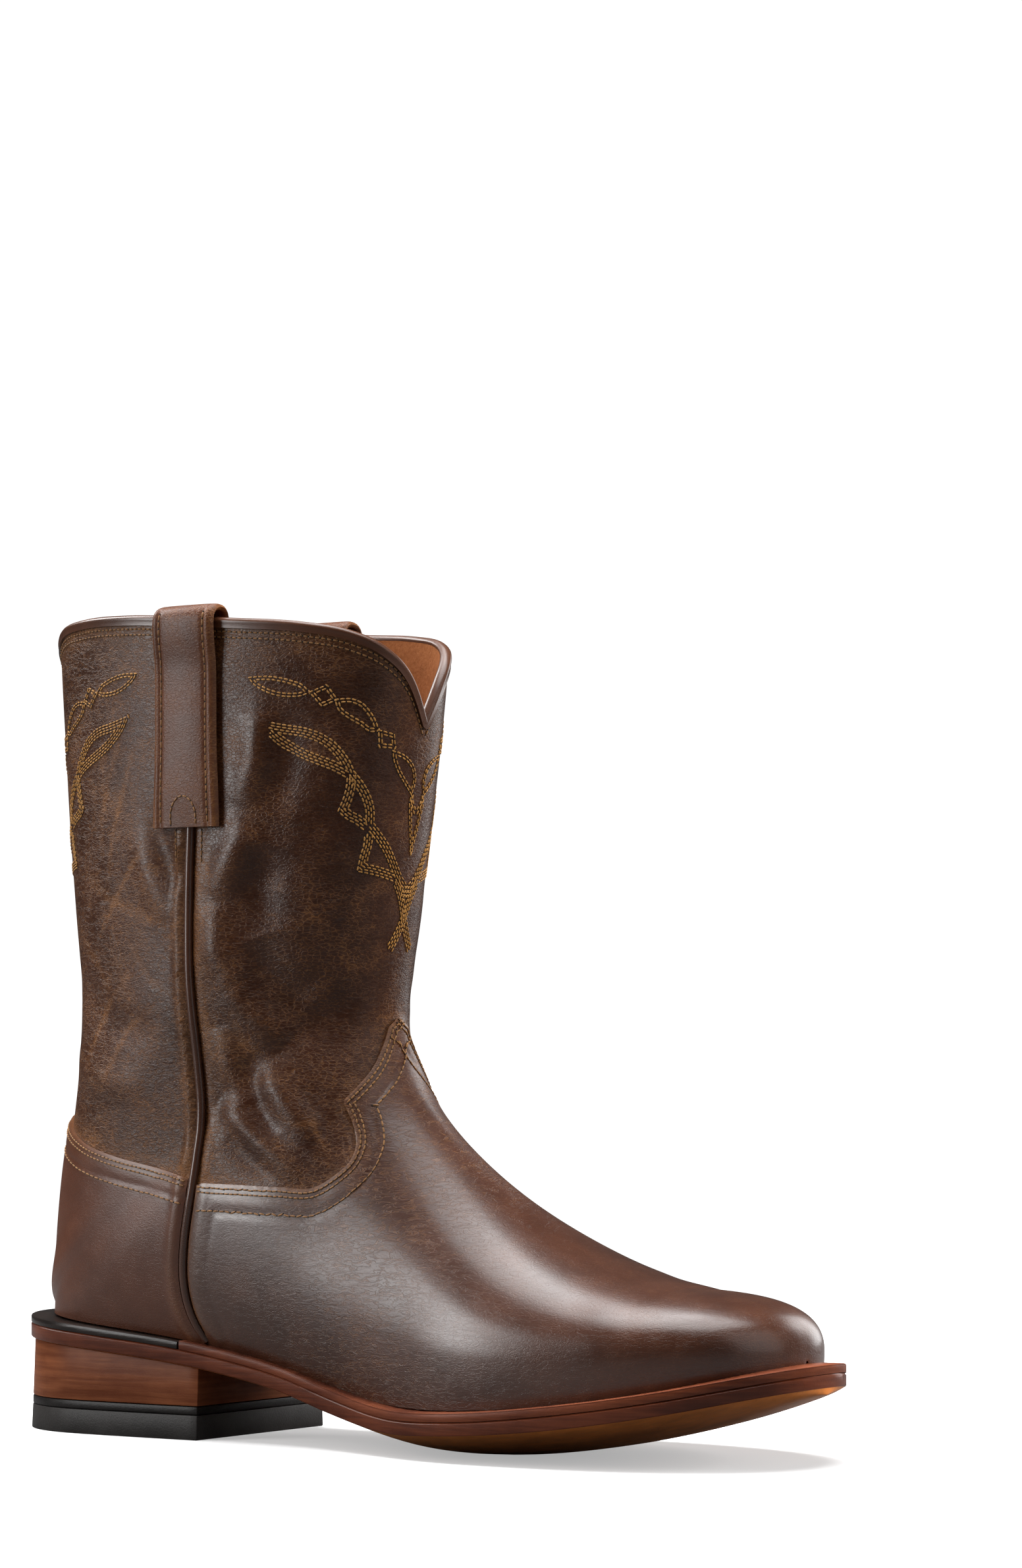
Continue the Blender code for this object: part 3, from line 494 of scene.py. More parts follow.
class Bench:
    """Modelling steps by operators, each on its own selection."""

    @staticmethod
    def clear() -> None:
        """Leave edit mode and deselect everything."""
        if bpy.context.object is not None and bpy.context.object.mode != "OBJECT":
            bpy.ops.object.mode_set(mode="OBJECT")
        bpy.ops.object.select_all(action="DESELECT")

    @staticmethod
    def take(thing: bpy.types.Object) -> None:
        """Select one object alone and make it active."""
        Bench.clear()
        thing.select_set(True)
        bpy.context.view_layer.objects.active = thing

    @staticmethod
    def sheet(name: str, points: Array) -> bpy.types.Object:
        """Grid primitive laid on rows and columns of points.

        Args:
            name: piece name.
            points: rows by columns of points in metres.

        Returns:
            The new object.
        """
        rows, cols = points.shape[:2]
        Bench.clear()
        bpy.ops.mesh.primitive_grid_add(x_subdivisions=cols - 1, y_subdivisions=rows - 1, size=2)
        thing = bpy.context.object
        thing.name = thing.data.name = name
        flat = Bench.spots(thing)
        col = np.rint((flat[:, 0] + 1) / 2 * (cols - 1)).astype(int)
        row = np.rint((flat[:, 1] + 1) / 2 * (rows - 1)).astype(int)
        thing.data.vertices.foreach_set("co", points[row, col].ravel())
        thing.data.update()
        return thing

    @staticmethod
    def mesh(name: str, points: Array, faces: list[tuple[int, ...]]) -> bpy.types.Object:
        """Object from points in metres and faces."""
        data = bpy.data.meshes.new(name)
        data.from_pydata(points.tolist(), [], faces)
        thing = bpy.data.objects.new(name, data)
        bpy.context.scene.collection.objects.link(thing)
        return thing

    @staticmethod
    def merge(thing: bpy.types.Object, gap: float = 2e-6, outward: bool = False, fill: bool = False) -> None:
        """Merge doubled points, then close holes and turn the faces outwards if asked."""
        Bench.take(thing)
        bpy.ops.object.mode_set(mode="EDIT")
        bpy.ops.mesh.select_mode(type="VERT")
        bpy.ops.mesh.select_all(action="SELECT")
        bpy.ops.mesh.remove_doubles(threshold=gap)
        if fill:
            bpy.ops.mesh.select_all(action="SELECT")
            bpy.ops.mesh.fill_holes(sides=0)
        if outward:
            bpy.ops.mesh.select_all(action="SELECT")
            bpy.ops.mesh.normals_make_consistent(inside=False)
        bpy.ops.object.mode_set(mode="OBJECT")

    @staticmethod
    def flip(thing: bpy.types.Object) -> None:
        """Turn all faces round."""
        Bench.take(thing)
        bpy.ops.object.mode_set(mode="EDIT")
        bpy.ops.mesh.select_all(action="SELECT")
        bpy.ops.mesh.flip_normals()
        bpy.ops.object.mode_set(mode="OBJECT")

    @staticmethod
    def tube(name: str, loops: Array, closed: bool = False) -> bpy.types.Object:
        """Closed skin over a run of rings.

        Args:
            name: piece name.
            loops: rings by points in metres.
            closed: whether the last ring joins the first.

        Returns:
            The new object with outward faces.
        """
        loops = np.concatenate([loops, loops[:, :1]], 1)
        if closed:
            loops = np.concatenate([loops, loops[:1]], 0)
        thing = Bench.sheet(name, loops)
        Bench.merge(thing, outward=True, fill=not closed)
        return thing

    @staticmethod
    def apply(thing: bpy.types.Object, kind: str, **settings: object) -> None:
        """Add a modifier with settings and apply it."""
        Bench.take(thing)
        modifier = thing.modifiers.new(kind.title(), kind)
        for key, value in settings.items():
            setattr(modifier, key, value)
        bpy.ops.object.modifier_apply(modifier=modifier.name)

    @staticmethod
    def smooth(thing: bpy.types.Object, angle: float = 40.0) -> None:
        """Smooth shading, with edges over an angle left sharp."""
        Bench.take(thing)
        bpy.ops.object.shade_smooth_by_angle(angle=math.radians(angle))

    @staticmethod
    def mark(thing: bpy.types.Object, name: str, values: Array) -> None:
        """Store one number per point as an attribute."""
        layer = thing.data.attributes.new(name, "FLOAT", "POINT")
        layer.data.foreach_set("value", np.asarray(values, np.float32))

    @staticmethod
    def spots(thing: bpy.types.Object) -> Array:
        """Points of a piece in metres."""
        flat = np.empty(len(thing.data.vertices) * 3)
        thing.data.vertices.foreach_get("co", flat)
        return flat.reshape(-1, 3)

    @staticmethod
    def wear(thing: bpy.types.Object, finish: "Finish", slot: str, *nodes: str) -> None:
        """Give a piece its finish and body, and hide the nodes it stands for."""
        thing.data.materials.clear()
        thing.data.materials.append(finish.material())
        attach(thing, "root")
        if nodes:
            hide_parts(*nodes)
        log.info("%s: %d points", thing.name, len(thing.data.vertices))


class Value:
    """A shader socket that takes part in Python arithmetic."""

    def __init__(self, graph: "Graph", socket: bpy.types.NodeSocket) -> None:
        """Wrap a socket of a graph."""
        self.graph, self.socket = graph, socket

    def _math(self, operation: str, other: object, swap: bool = False) -> "Value":
        """Math node on this value and another."""
        pair = (other, self) if swap else (self, other)
        return self.graph.node("ShaderNodeMath", {"operation": operation}, {0: pair[0], 1: pair[1]})

    def __add__(self, other: object) -> "Value":
        """Sum."""
        return self._math("ADD", other)

    def __radd__(self, other: object) -> "Value":
        """Sum, reflected."""
        return self._math("ADD", other, True)

    def __sub__(self, other: object) -> "Value":
        """Difference."""
        return self._math("SUBTRACT", other)

    def __rsub__(self, other: object) -> "Value":
        """Difference, reflected."""
        return self._math("SUBTRACT", other, True)

    def __mul__(self, other: object) -> "Value":
        """Product."""
        return self._math("MULTIPLY", other)

    def __rmul__(self, other: object) -> "Value":
        """Product, reflected."""
        return self._math("MULTIPLY", other, True)

    def size(self) -> "Value":
        """Value without its sign."""
        return self.graph.node("ShaderNodeMath", {"operation": "ABSOLUTE"}, {0: self})

    def step(self, low: float, high: float) -> "Value":
        """0 below low, 1 above high and smooth between."""
        return self.graph.node("ShaderNodeMapRange", {"interpolation_type": "SMOOTHSTEP"},
                               {"Value": self, "From Min": low, "From Max": high}, "Result")


class Graph:
    """A material's nodes, ending in one Principled shader."""

    def __init__(self, name: str) -> None:
        """Start a material with a bare shader."""
        self.material = bpy.data.materials.new(name)
        self.material.use_nodes = True
        self.tree = self.material.node_tree
        self.shader = self.tree.nodes["Principled BSDF"]
        self.coords = self.node("ShaderNodeTexCoord", out="Object")

    def node(self, kind: str, settings: dict | None = None, inputs: dict | None = None,
             out: int | str = 0) -> Value:
        """Add a node.

        Args:
            kind: node type.
            settings: attributes, set first.
            inputs: socket names or numbers with values or links.
            out: output socket.

        Returns:
            The chosen output.
        """
        made = self.tree.nodes.new(kind)
        for key, value in (settings or {}).items():
            setattr(made, key, value)
        for key, value in (inputs or {}).items():
            if isinstance(value, Value):
                self.tree.links.new(value.socket, made.inputs[key])
            elif isinstance(value, tuple) and made.inputs[key].type == "RGBA":
                made.inputs[key].default_value = (*value, 1.0)
            else:
                made.inputs[key].default_value = value
        return Value(self, made.outputs[out])

    def placed(self, stretch: Colour) -> Value:
        """Coordinates of the piece, stretched if asked."""
        if stretch == (1, 1, 1):
            return self.coords
        return self.node("ShaderNodeMapping", {}, {"Vector": self.coords, "Scale": stretch})

    def noise(self, scale: float, detail: float = 3.0, rough: float = 0.55, stretch: Colour = (1, 1, 1),
              distort: float = 0.0) -> Value:
        """Soft noise, with scale in cells per metre, stretched if asked."""
        return self.node("ShaderNodeTexNoise", {}, {"Vector": self.placed(stretch), "Scale": scale, "Detail": detail,
                                                    "Roughness": rough, "Distortion": distort}, "Fac")

    def cells(self, scale: float, warp: float, stretch: Colour) -> Value:
        """Distance to the borders of a stretched field of cells, bent by noise."""
        where = self.placed(stretch)
        bend = self.node("ShaderNodeTexNoise", {}, {"Vector": where, "Scale": scale * 0.9, "Detail": 3.0}, "Color")
        bend = self.node("ShaderNodeVectorMath", {"operation": "SCALE"}, {0: bend, "Scale": warp / scale})
        where = self.node("ShaderNodeVectorMath", {"operation": "ADD"}, {0: where, 1: bend})
        return self.node("ShaderNodeTexVoronoi", {"feature": "DISTANCE_TO_EDGE"},
                         {"Vector": where, "Scale": scale}, "Distance")

    def mark(self, name: str) -> Value:
        """A number stored on the piece's points."""
        return self.node("ShaderNodeAttribute", {"attribute_name": name}, {}, "Fac")

    def mix(self, share: Value, one: object, two: object) -> Value:
        """Colour between two colours."""
        return self.node("ShaderNodeMix", {"data_type": "RGBA"}, {0: share, 6: one, 7: two}, 2)

    def finish(self, colour: Value, rough: Value | float, height: Value | None = None, depth: float = 0.0003,
               strength: float = 1.0, **values: Value | float) -> bpy.types.Material:
        """Join colour, roughness and relief to the shader.

        Args:
            colour: base colour.
            rough: roughness.
            height: relief from 0 to 1.
            depth: real depth of the relief in metres.
            strength: share of the relief that shows.
            values: fixed shader values, and a coat weight that may vary, by socket name with underscores.

        Returns:
            The material.
        """
        self.tree.links.new(colour.socket, self.shader.inputs["Base Color"])
        if height is not None:
            bump = self.node("ShaderNodeBump", {}, {"Height": height, "Distance": depth, "Strength": strength})
            self.tree.links.new(bump.socket, self.shader.inputs["Normal"])
        for name, value in {"Roughness": rough, **values}.items():
            socket = self.shader.inputs[name.replace("_", " ")]
            if isinstance(value, Value):
                self.tree.links.new(value.socket, socket)
            else:
                socket.default_value = value
        return self.material


class Finish:
    """A finish that makes its material once."""

    def material(self) -> bpy.types.Material:
        """The finish's material, made on first use."""
        made = bpy.data.materials.get(self.title)
        return made if made is not None else self.make()

    @property
    def title(self) -> str:
        """Material name, apart from the frame's own materials."""
        return f"{self.name}_finish"


@dataclass(frozen=True)
class Leather(Finish):
    """Waxed leather whose colour lightens where it is pulled or worn, and where the pull mark holds painted light."""

    name: str
    deep: Colour
    warm: Colour
    tan: Colour
    rough: float
    coat: float
    grain: float
    wrinkle: float
    vein: float
    cell: float
    gloss: float

    def make(self) -> bpy.types.Material:
        """Colour clouds, tan veins and worn edges over a fine pebble grain."""
        g = Graph(self.title)
        wear, pull, flex = g.mark("wear"), g.mark("pull"), g.mark("flex")
        cloud, blotch = g.noise(17.0, 4.0, 0.6), g.noise(60.0, 4.0, 0.62)
        body = g.mix((cloud * 0.55 + blotch * 0.45).step(0.26, 0.76), self.deep, self.warm)
        ripple = g.noise(190.0, 3.0, 0.6, (1.0, 1.0, 3.4), distort=0.8)
        furrow = (1.0 - (ripple - 0.5).size().step(0.0, 0.05)) * (0.15 + flex)
        pebble = g.cells(1000.0 / self.cell, 0.6, (1.0, 1.0, 1.3)).step(0.0, 0.45)
        crack = 1.0 - g.cells(470.0, 1.2, (1.0, 1.0, 2.1)).step(0.0, 0.13)
        crack = crack * (0.35 + 0.65 * blotch.step(0.35, 0.65))
        vein = (1.0 - g.cells(60.0, 1.4, (1.0, 1.0, 0.75)).step(0.0, 0.16)) * g.noise(30.0).step(0.52, 0.7)
        net = (1.0 - pebble) * (0.5 + 0.5 * blotch.step(0.42, 0.62))
        dust = g.noise(130.0, 4.0, 0.65)
        # pull lightens towards tan; on the shaft's back panel part of it is painted light
        light = wear * (0.3 + 0.8 * dust) + vein * (0.3 * self.vein) + pull * (0.3 + 0.4 * dust)
        light = light + net * (0.12 * self.grain) + crack * (0.38 * self.grain) + furrow * (0.32 * self.wrinkle)
        colour = g.mix(light.step(0.0, 1.0), body, self.tan)
        rough = self.rough + 0.12 * (blotch - 0.5) + 0.12 * wear + 0.04 * net + 0.09 * flex
        height = (pebble * (0.12 * self.grain) + ripple * (flex + 0.1) * (0.7 * self.wrinkle)
                  - crack * (0.25 * self.grain) - furrow * (0.3 * self.wrinkle)
                  + g.noise(70.0, 3.0) * (0.08 + 0.5 * self.grain) + g.noise(1500.0, 2.0) * 0.012)
        return g.finish(colour, rough, height, 0.00045, 0.8, Coat_Weight=self.coat * (1.0 - 0.6 * flex),
                        Coat_Roughness=0.26, Specular_IOR_Level=self.gloss)


@dataclass(frozen=True)
class Suede(Finish):
    """Soft lining leather."""

    name: str
    dark: Colour
    light: Colour
    rough: float = 0.85

    def make(self) -> bpy.types.Material:
        """Cloudy nap."""
        g = Graph(self.title)
        colour = g.mix((g.noise(30.0, 5.0, 0.65) * 0.6 + g.noise(700.0, 2.0) * 0.4).step(0.3, 0.7),
                       self.dark, self.light)
        return g.finish(colour, self.rough, g.noise(900.0, 3.0), 0.0003, 0.5, Specular_IOR_Level=0.1)


@dataclass(frozen=True)
class EdgeLeather(Finish):
    """Cut and waxed leather edge with fine layers along the foot."""

    name: str
    dark: Colour
    light: Colour
    rough: float = 0.36
    layer: float = 900.0
    tread: Colour | None = None
    top_rough: float = 0.0
    gloss: float = 0.25

    def make(self) -> bpy.types.Material:
        """Streaks that follow the layers, with a bare tread below if there is one, its tan lightened as painted bounce
        light from the floor.
        """
        g = Graph(self.title)
        streak = g.noise(self.layer, 3.0, 0.6, (0.05, 0.05, 1.0))
        cloud = g.noise(28.0, 4.0, 0.6)
        colour = g.mix((streak * 0.45 + cloud * 0.55).step(0.36, 0.66), self.dark, self.light)
        rough = self.rough + 0.15 * (cloud - 0.5)
        height = streak * 0.5 + g.noise(1500.0, 3.0) * 0.25
        if self.tread is not None:
            on = g.mark("tread")
            # bare tread: the sole's own tan, lightened further as painted bounce light from the floor
            bare = g.mix(g.noise(90.0, 5.0, 0.7, (0.35, 1.0, 1.0)).step(0.3, 0.7),
                         tuple(c * 0.62 for c in self.tread), self.tread)
            colour = g.mix(on, colour, bare)
        if self.top_rough:
            on = g.mark("tread")
            height = height + on * g.noise(420.0, 4.0, 0.7) * 2.2
            rough = rough + on * self.top_rough
        return g.finish(colour, rough, height, 0.00035, 0.5, Coat_Weight=0.3 * self.gloss, Coat_Roughness=0.2,
                        Specular_IOR_Level=self.gloss)


@dataclass(frozen=True)
class Rubber(Finish):
    """Dark moulded rubber."""

    name: str
    colour: Colour
    rough: float = 0.5

    def make(self) -> bpy.types.Material:
        """Slightly dusty dark rubber."""
        g = Graph(self.title)
        cloud = g.noise(60.0, 5.0, 0.65)
        colour = g.mix(cloud.step(0.3, 0.75), self.colour, tuple(c * 1.7 for c in self.colour))
        return g.finish(colour, self.rough + 0.2 * (cloud - 0.5), g.noise(1800.0, 3.0), 0.0002, 0.4,
                        Specular_IOR_Level=0.2)


@dataclass(frozen=True)
class Thread(Finish):
    """Twisted sewing thread."""

    name: str
    dark: Colour
    light: Colour
    rough: float = 0.55

    def make(self) -> bpy.types.Material:
        """Fine strands across the stitch."""
        g = Graph(self.title)
        strand = g.noise(2600.0, 2.0, 0.6)
        colour = g.mix((strand * 0.6 + g.noise(140.0) * 0.4).step(0.3, 0.7), self.dark, self.light)
        return g.finish(colour, self.rough, strand, 0.0002, 0.6)


TAN = (0.25, 0.105, 0.033)
SHAFT = Leather("shaft_leather", (0.021, 0.0060, 0.0023), (0.054, 0.0162, 0.0063), TAN, rough=0.25, coat=0.08,
                grain=0.8, wrinkle=0.7, vein=0.5, cell=1.7, gloss=0.33)
VAMP = Leather("vamp_leather", (0.034, 0.0097, 0.0038), (0.070, 0.0208, 0.0083), TAN, rough=0.3, coat=0.95,
               grain=0.3, wrinkle=0.9, vein=0.0, cell=1.0, gloss=0.5)
COUNTER = Leather("counter_leather", (0.058, 0.0166, 0.0068), (0.108, 0.0328, 0.0135), TAN, rough=0.34, coat=0.25,
                  grain=0.3, wrinkle=0.2, vein=0.1, cell=1.0, gloss=0.5)
STRAP = Leather("strap_leather", (0.050, 0.0155, 0.0064), (0.118, 0.0385, 0.0160), TAN, rough=0.36, coat=0.08,
                grain=0.75, wrinkle=0.4, vein=0.15, cell=1.3, gloss=0.25)
TRIM = Leather("trim_leather", (0.040, 0.0140, 0.0070), (0.078, 0.0270, 0.0135), TAN, rough=0.26, coat=0.45,
               grain=0.1, wrinkle=0.1, vein=0.0, cell=0.7, gloss=0.4)
LINING = Suede("lining_leather", (0.20, 0.066, 0.021), (0.31, 0.116, 0.042))
INSOLE = Suede("insole_leather", (0.26, 0.15, 0.075), (0.40, 0.25, 0.14), rough=0.7)
WELT = EdgeLeather("welt_leather", (0.085, 0.0195, 0.0080), (0.19, 0.050, 0.0200), rough=0.42, top_rough=0.2,
                   gloss=0.2)
# tread colour: the sole's tan bottom, made lighter as painted bounce light from the floor
SOLE = EdgeLeather("outsole_leather", (0.070, 0.0150, 0.0058), (0.155, 0.038, 0.0145), tread=(0.68, 0.215, 0.045))
RAND = EdgeLeather("rand_leather", (0.010, 0.007, 0.006), (0.026, 0.017, 0.014), rough=0.3)
STACK = EdgeLeather("stack_leather", (0.112, 0.0305, 0.0122), (0.230, 0.0760, 0.0315), rough=0.42, layer=700.0,
                    gloss=0.07)
LIFT = Rubber("lift_rubber", (0.008, 0.0065, 0.006), 0.38)
CAP = Rubber("cap_rubber", (0.020, 0.018, 0.017), 0.45)
GOLD = Thread("gold_thread", (0.27, 0.122, 0.026), (0.56, 0.275, 0.066))
BROWN = Thread("brown_thread", (0.15, 0.067, 0.021), (0.34, 0.162, 0.052))
# near-black beads between the stitches: painted shade standing for the needle holes
SHADE = Thread("needle_holes", (0.006, 0.004, 0.003), (0.012, 0.008, 0.005), 0.8)


@dataclass
class Upper:
    """The leather upper: shaft, vamp, counter and lining, all from the last."""

    last: Last
    half_columns: int = 104
    fan_rows: int = 15
    shaft_start: float = 4.2
    shaft_rows: int = 92
    overlay: float = 1.7
    overlay_thick: float = 1.3
    shaft_thick: float = 1.0
    lining_depth: float = 2.2
    bead_gap: float = 4.6
    bead_rise: float = 1.25
    counter_start: float = 86.5
    counter_end: tuple[float, float] = (2.0, 117.0)
    tuck: float = 9.0
    even_edge: float = 16.0
    even_toe: tuple[float, float] = (250.0, 20.0)
    even_rows: float = 8.0
    creases: tuple[Crease, ...] = (
        Crease(((116.0, 240.0), (114.5, 223.0), (108.5, 207.0)), 6.5, 2.7),
        Crease(((124.0, 240.0), (123.0, 221.0), (119.0, 204.0)), 7.5, -2.0),
        Crease(((113.0, 203.0), (105.5, 192.0), (98.5, 178.0)), 6.8, 2.7),
        Crease(((118.0, 196.0), (114.0, 181.0), (118.0, 166.0)), 8.0, -2.3),
        Crease(((97.5, 177.0), (98.5, 161.0), (106.0, 150.0)), 6.0, 2.5),
        Crease(((111.0, 165.0), (116.0, 152.0), (127.0, 142.0)), 7.5, -2.2),
        Crease(((98.5, 152.0), (108.0, 141.0), (121.0, 130.0)), 6.0, 2.2),
        Crease(((119.0, 148.0), (131.0, 137.0), (144.0, 131.0)), 8.0, -1.8),
        Crease(((98.0, 137.0), (102.5, 122.0), (109.0, 109.0)), 5.5, 2.3),
        Crease(((106.0, 127.0), (112.5, 112.0), (121.0, 100.0)), 4.6, -1.8),
        Crease(((110.0, 126.0), (123.0, 111.0), (136.0, 100.0)), 6.0, 2.3),
        Crease(((97.0, 113.0), (112.5, 100.4), (121.7, 93.2), (131.0, 85.3)), 4.0, 1.7),
        Crease(((101.0, 101.0), (112.0, 92.5), (122.0, 86.0)), 3.8, -1.2),
        Crease(((128.0, 118.0), (137.0, 106.0), (143.0, 94.0)), 4.6, -1.6),
        Crease(((71.0, 206.0), (77.2, 192.8), (83.5, 180.0)), 3.8, -1.5),
        Crease(((64.0, 202.0), (70.0, 186.0), (79.0, 170.0)), 5.0, 1.5),
        Crease(((26.0, 152.0), (48.0, 139.0), (74.0, 133.0)), 6.0, -1.2),
        Crease(((24.0, 129.0), (44.0, 119.0), (68.0, 116.0)), 6.0, 1.1),
    )
    veins: tuple[Crease, ...] = (
        Crease(((63.9, 232.0), (57.9, 215.2), (52.2, 200.2), (49.0, 182.0)), 1.1, 0.9),
        Crease(((58.0, 236.0), (50.0, 218.0), (46.0, 204.0), (47.0, 190.0)), 0.9, 0.7),
        Crease(((69.0, 197.0), (57.5, 184.5), (45.0, 167.3)), 1.3, 0.9),
        Crease(((36.0, 188.0), (48.0, 180.0), (60.0, 176.0), (80.0, 169.0)), 1.5, 0.8),
        Crease(((57.0, 152.0), (45.1, 140.4), (37.0, 124.0)), 1.2, 0.8),
        Crease(((74.0, 144.0), (59.1, 136.1), (47.0, 116.0)), 1.2, 0.8),
        Crease(((60.0, 165.0), (70.0, 152.0), (82.0, 146.0)), 1.2, 0.7),
        Crease(((30.0, 168.0), (42.0, 158.0), (50.0, 148.0)), 1.1, 0.7),
        Crease(((118.0, 108.0), (128.0, 104.0), (138.0, 106.0)), 1.0, 0.6),
        Crease(((131.0, 112.0), (134.0, 102.0), (139.0, 94.0)), 0.9, 0.7),
    )
    dents: tuple[Crease, ...] = (
        Crease(((247.0, 66.0), (241.0, 56.0), (237.0, 44.0)), 6.0, -0.12),
    )

    def __post_init__(self) -> None:
        """Outlines of the overlays in the side view."""
        last = self.last
        self.vamp_lines = {side: last.vamp_outline(side) for side in Side}
        start = (float(last.seam_x(self.counter_start)) - last.seam_gap, self.counter_start)
        self.counter_top = smooth_line(np.array([start, *last.counter_edge, self.counter_end]), 60)[::-1]

    def skin(self, places: Array, shares: Array, rows: int = 0, drop: float = 0.0) -> tuple[Array, Array]:
        """Outer surface by rows from the toe up, with columns from the lateral end over the ridge.

        Args:
            places: section places of the foot part.
            shares: places from each end to the ridge.
            rows: rows of the shaft above them, or 0 for none.
            drop: distance of the last row below the collar edge.

        Returns:
            Points in mm and outward normals.
        """
        halves = []
        for side in Side:
            part = self.last.points(places, side, shares)
            if rows:
                part = np.concatenate([part, self.last.shaft(side, shares, rows + 1, drop)[1:]], 0)
            halves.append(part)
        points = join_sides(halves)
        normals = np.cross(np.gradient(points, axis=1), np.gradient(points, axis=0))
        if normals[len(normals) // 2, len(shares) // 2, 1] > 0:
            normals = -normals
        return points, unit(normals)

    def vamp_gap(self, points: Array) -> tuple[Array, Array]:
        """Distance of points to the top edge of the vamp, and whether the vamp covers them."""
        x, z = self.last.unroll(points)
        gaps, covers = [], []
        for line in self.vamp_lines.values():
            gaps.append(line_distance(x, z, line[1:-2])[0])
            covers.append(inside(x, z, line))
        on = points[..., 1] < 0
        return np.where(on, gaps[0], gaps[1]), np.where(on, covers[0], covers[1])

    def counter_gap(self, points: Array) -> tuple[Array, Array]:
        """Distance of points to the top edge of the counter, and whether the counter covers them."""
        x, z, line = points[..., 0], points[..., 2], self.counter_top
        covers = (x < self.last.seam_x(z)) & (z < np.interp(x, line[:, 0], line[:, 1]))
        return line_distance(x, z, line)[0], covers

    def even(self, points: Array, normals: Array) -> tuple[Array, Array]:
        """Wall of the foot with small waves drawn out of it along the foot, away from the toe and the top edge.

        Args:
            points: rows of points from the toe up.
            normals: outward normals.

        Returns:
            Even points and their normals.
        """
        gap, under = self.vamp_gap(points)
        toe, fade = self.even_toe
        hold = ease(gap / self.even_edge) * under * ease((toe - points[..., 0]) / fade)
        reach = int(3 * self.even_rows)
        kernel = np.exp(-(np.arange(-reach, reach + 1) / self.even_rows) ** 2 / 2)
        before, after = 2 * points[:1] - points[reach:0:-1], 2 * points[-1:] - points[-2:-reach - 2:-1]
        wide = np.concatenate([before, points, after], 0)
        soft = sum(share * wide[k:k + len(points)] for k, share in enumerate(kernel / kernel.sum()))
        points = points + (soft - points) * hold[..., None]
        turned = unit(np.cross(np.gradient(points, axis=1), np.gradient(points, axis=0)))
        turned = turned * np.sign(np.sum(turned * normals, -1, keepdims=True))
        return points, unit(normals + (turned - normals) * (hold > 0)[..., None])

    @staticmethod
    def edge_dip(gap: Array) -> Array:
        """Thinned edge of a panel, and the grooves that its stitch rows pull into it."""
        return 0.55 * np.exp(-gap / 0.8) + 0.22 * bell(gap, 2.3, 1.1) + 0.28 * bell(gap, 9.0, 1.0)

    @staticmethod
    def edge_wear(gap: Array) -> Array:
        """How worn a panel is beside its edge."""
        return 0.45 * np.exp(-gap / 1.6) + 0.10 * bell(gap, 5.0, 3.5)

    def seam_bead(self, points: Array) -> Array:
        """Soft welt of folded leather behind the side seam, and the dip that the cord lies in."""
        off = points[..., 0] - self.last.seam_x(points[..., 2])
        live = ease((204.0 - points[..., 2]) / 4.0)
        bead = self.bead_rise * bell(off, -self.bead_gap, 1.7)
        return live * (bead + 0.35 * bell(off, 4.2, 1.5) - 0.7 * bell(off, 0.0, 1.6))

    def folds(self, points: Array) -> Array:
        """Height of all folds of the shaft, fading out at the panels below it."""
        (gap_vamp, under), (gap_counter, behind) = self.vamp_gap(points), self.counter_gap(points)
        free = ease(gap_vamp / 4.0) * ease(gap_counter / 4.0) * ~under * ~behind
        return free * sum(crease.lift(points) for crease in self.creases)

    def shaft(self) -> bpy.types.Object:
        """Shaft leather with its creases, running down under the vamp and the counter."""
        last = self.last
        shares = np.linspace(0.0, 1.0, self.half_columns + 1)
        places = np.linspace(self.shaft_start, last.shaft_row, int((last.shaft_row - self.shaft_start) * self.fan_rows))
        points, normals = self.skin(places, shares, self.shaft_rows)
        lift, fold = self.seam_bead(points), self.folds(points)
        # pull-up lightening on fold ridges, and a flat 0.08 on the back panel behind the seam: painted light, the back
        # panel made lighter as if lit from the left
        pull = 0.1 * np.clip(fold, 0, 1) + np.where(points[..., 0] < last.seam_x(points[..., 2]), 0.08, 0.0)
        for vein in self.veins:
            add = vein.lift(points)
            lift = lift - 0.16 * add
            pull = pull + 0.65 * add
        x, z = points[..., 0], points[..., 2]
        (gap_vamp, under), (gap_counter, behind) = self.vamp_gap(points), self.counter_gap(points)
        lift = fold + lift * ease(gap_vamp / 4.0) * ease(gap_counter / 4.0) * ~under * ~behind
        collar = np.concatenate([last.collar_z(shares), last.collar_z(shares[::-1])[1:]])[None] - z
        off = np.abs(x - last.seam_x(z))
        wear = (0.5 * np.exp(-collar / 5.0) + 0.3 * np.exp(-gap_vamp / 3.0) + 0.35 * np.exp(-gap_counter / 4.0)
                + 0.3 * bell(off, 4.0, 3.0))
        flex = np.where(x < last.seam_x(z), 0.85, 0.25 + 0.35 * ease((215.0 - z) / 90.0))
        tucked = (under & (gap_vamp > self.tuck)) | (behind & (gap_counter > self.tuck))
        quads = grid_faces(*points.shape[:2])
        quads = quads[~tucked.ravel()[quads].all(-1)]
        return self.panel("shaft", last.metres(points + normals * lift[..., None]), normals, quads,
                          (wear, pull, flex), self.shaft_thick)

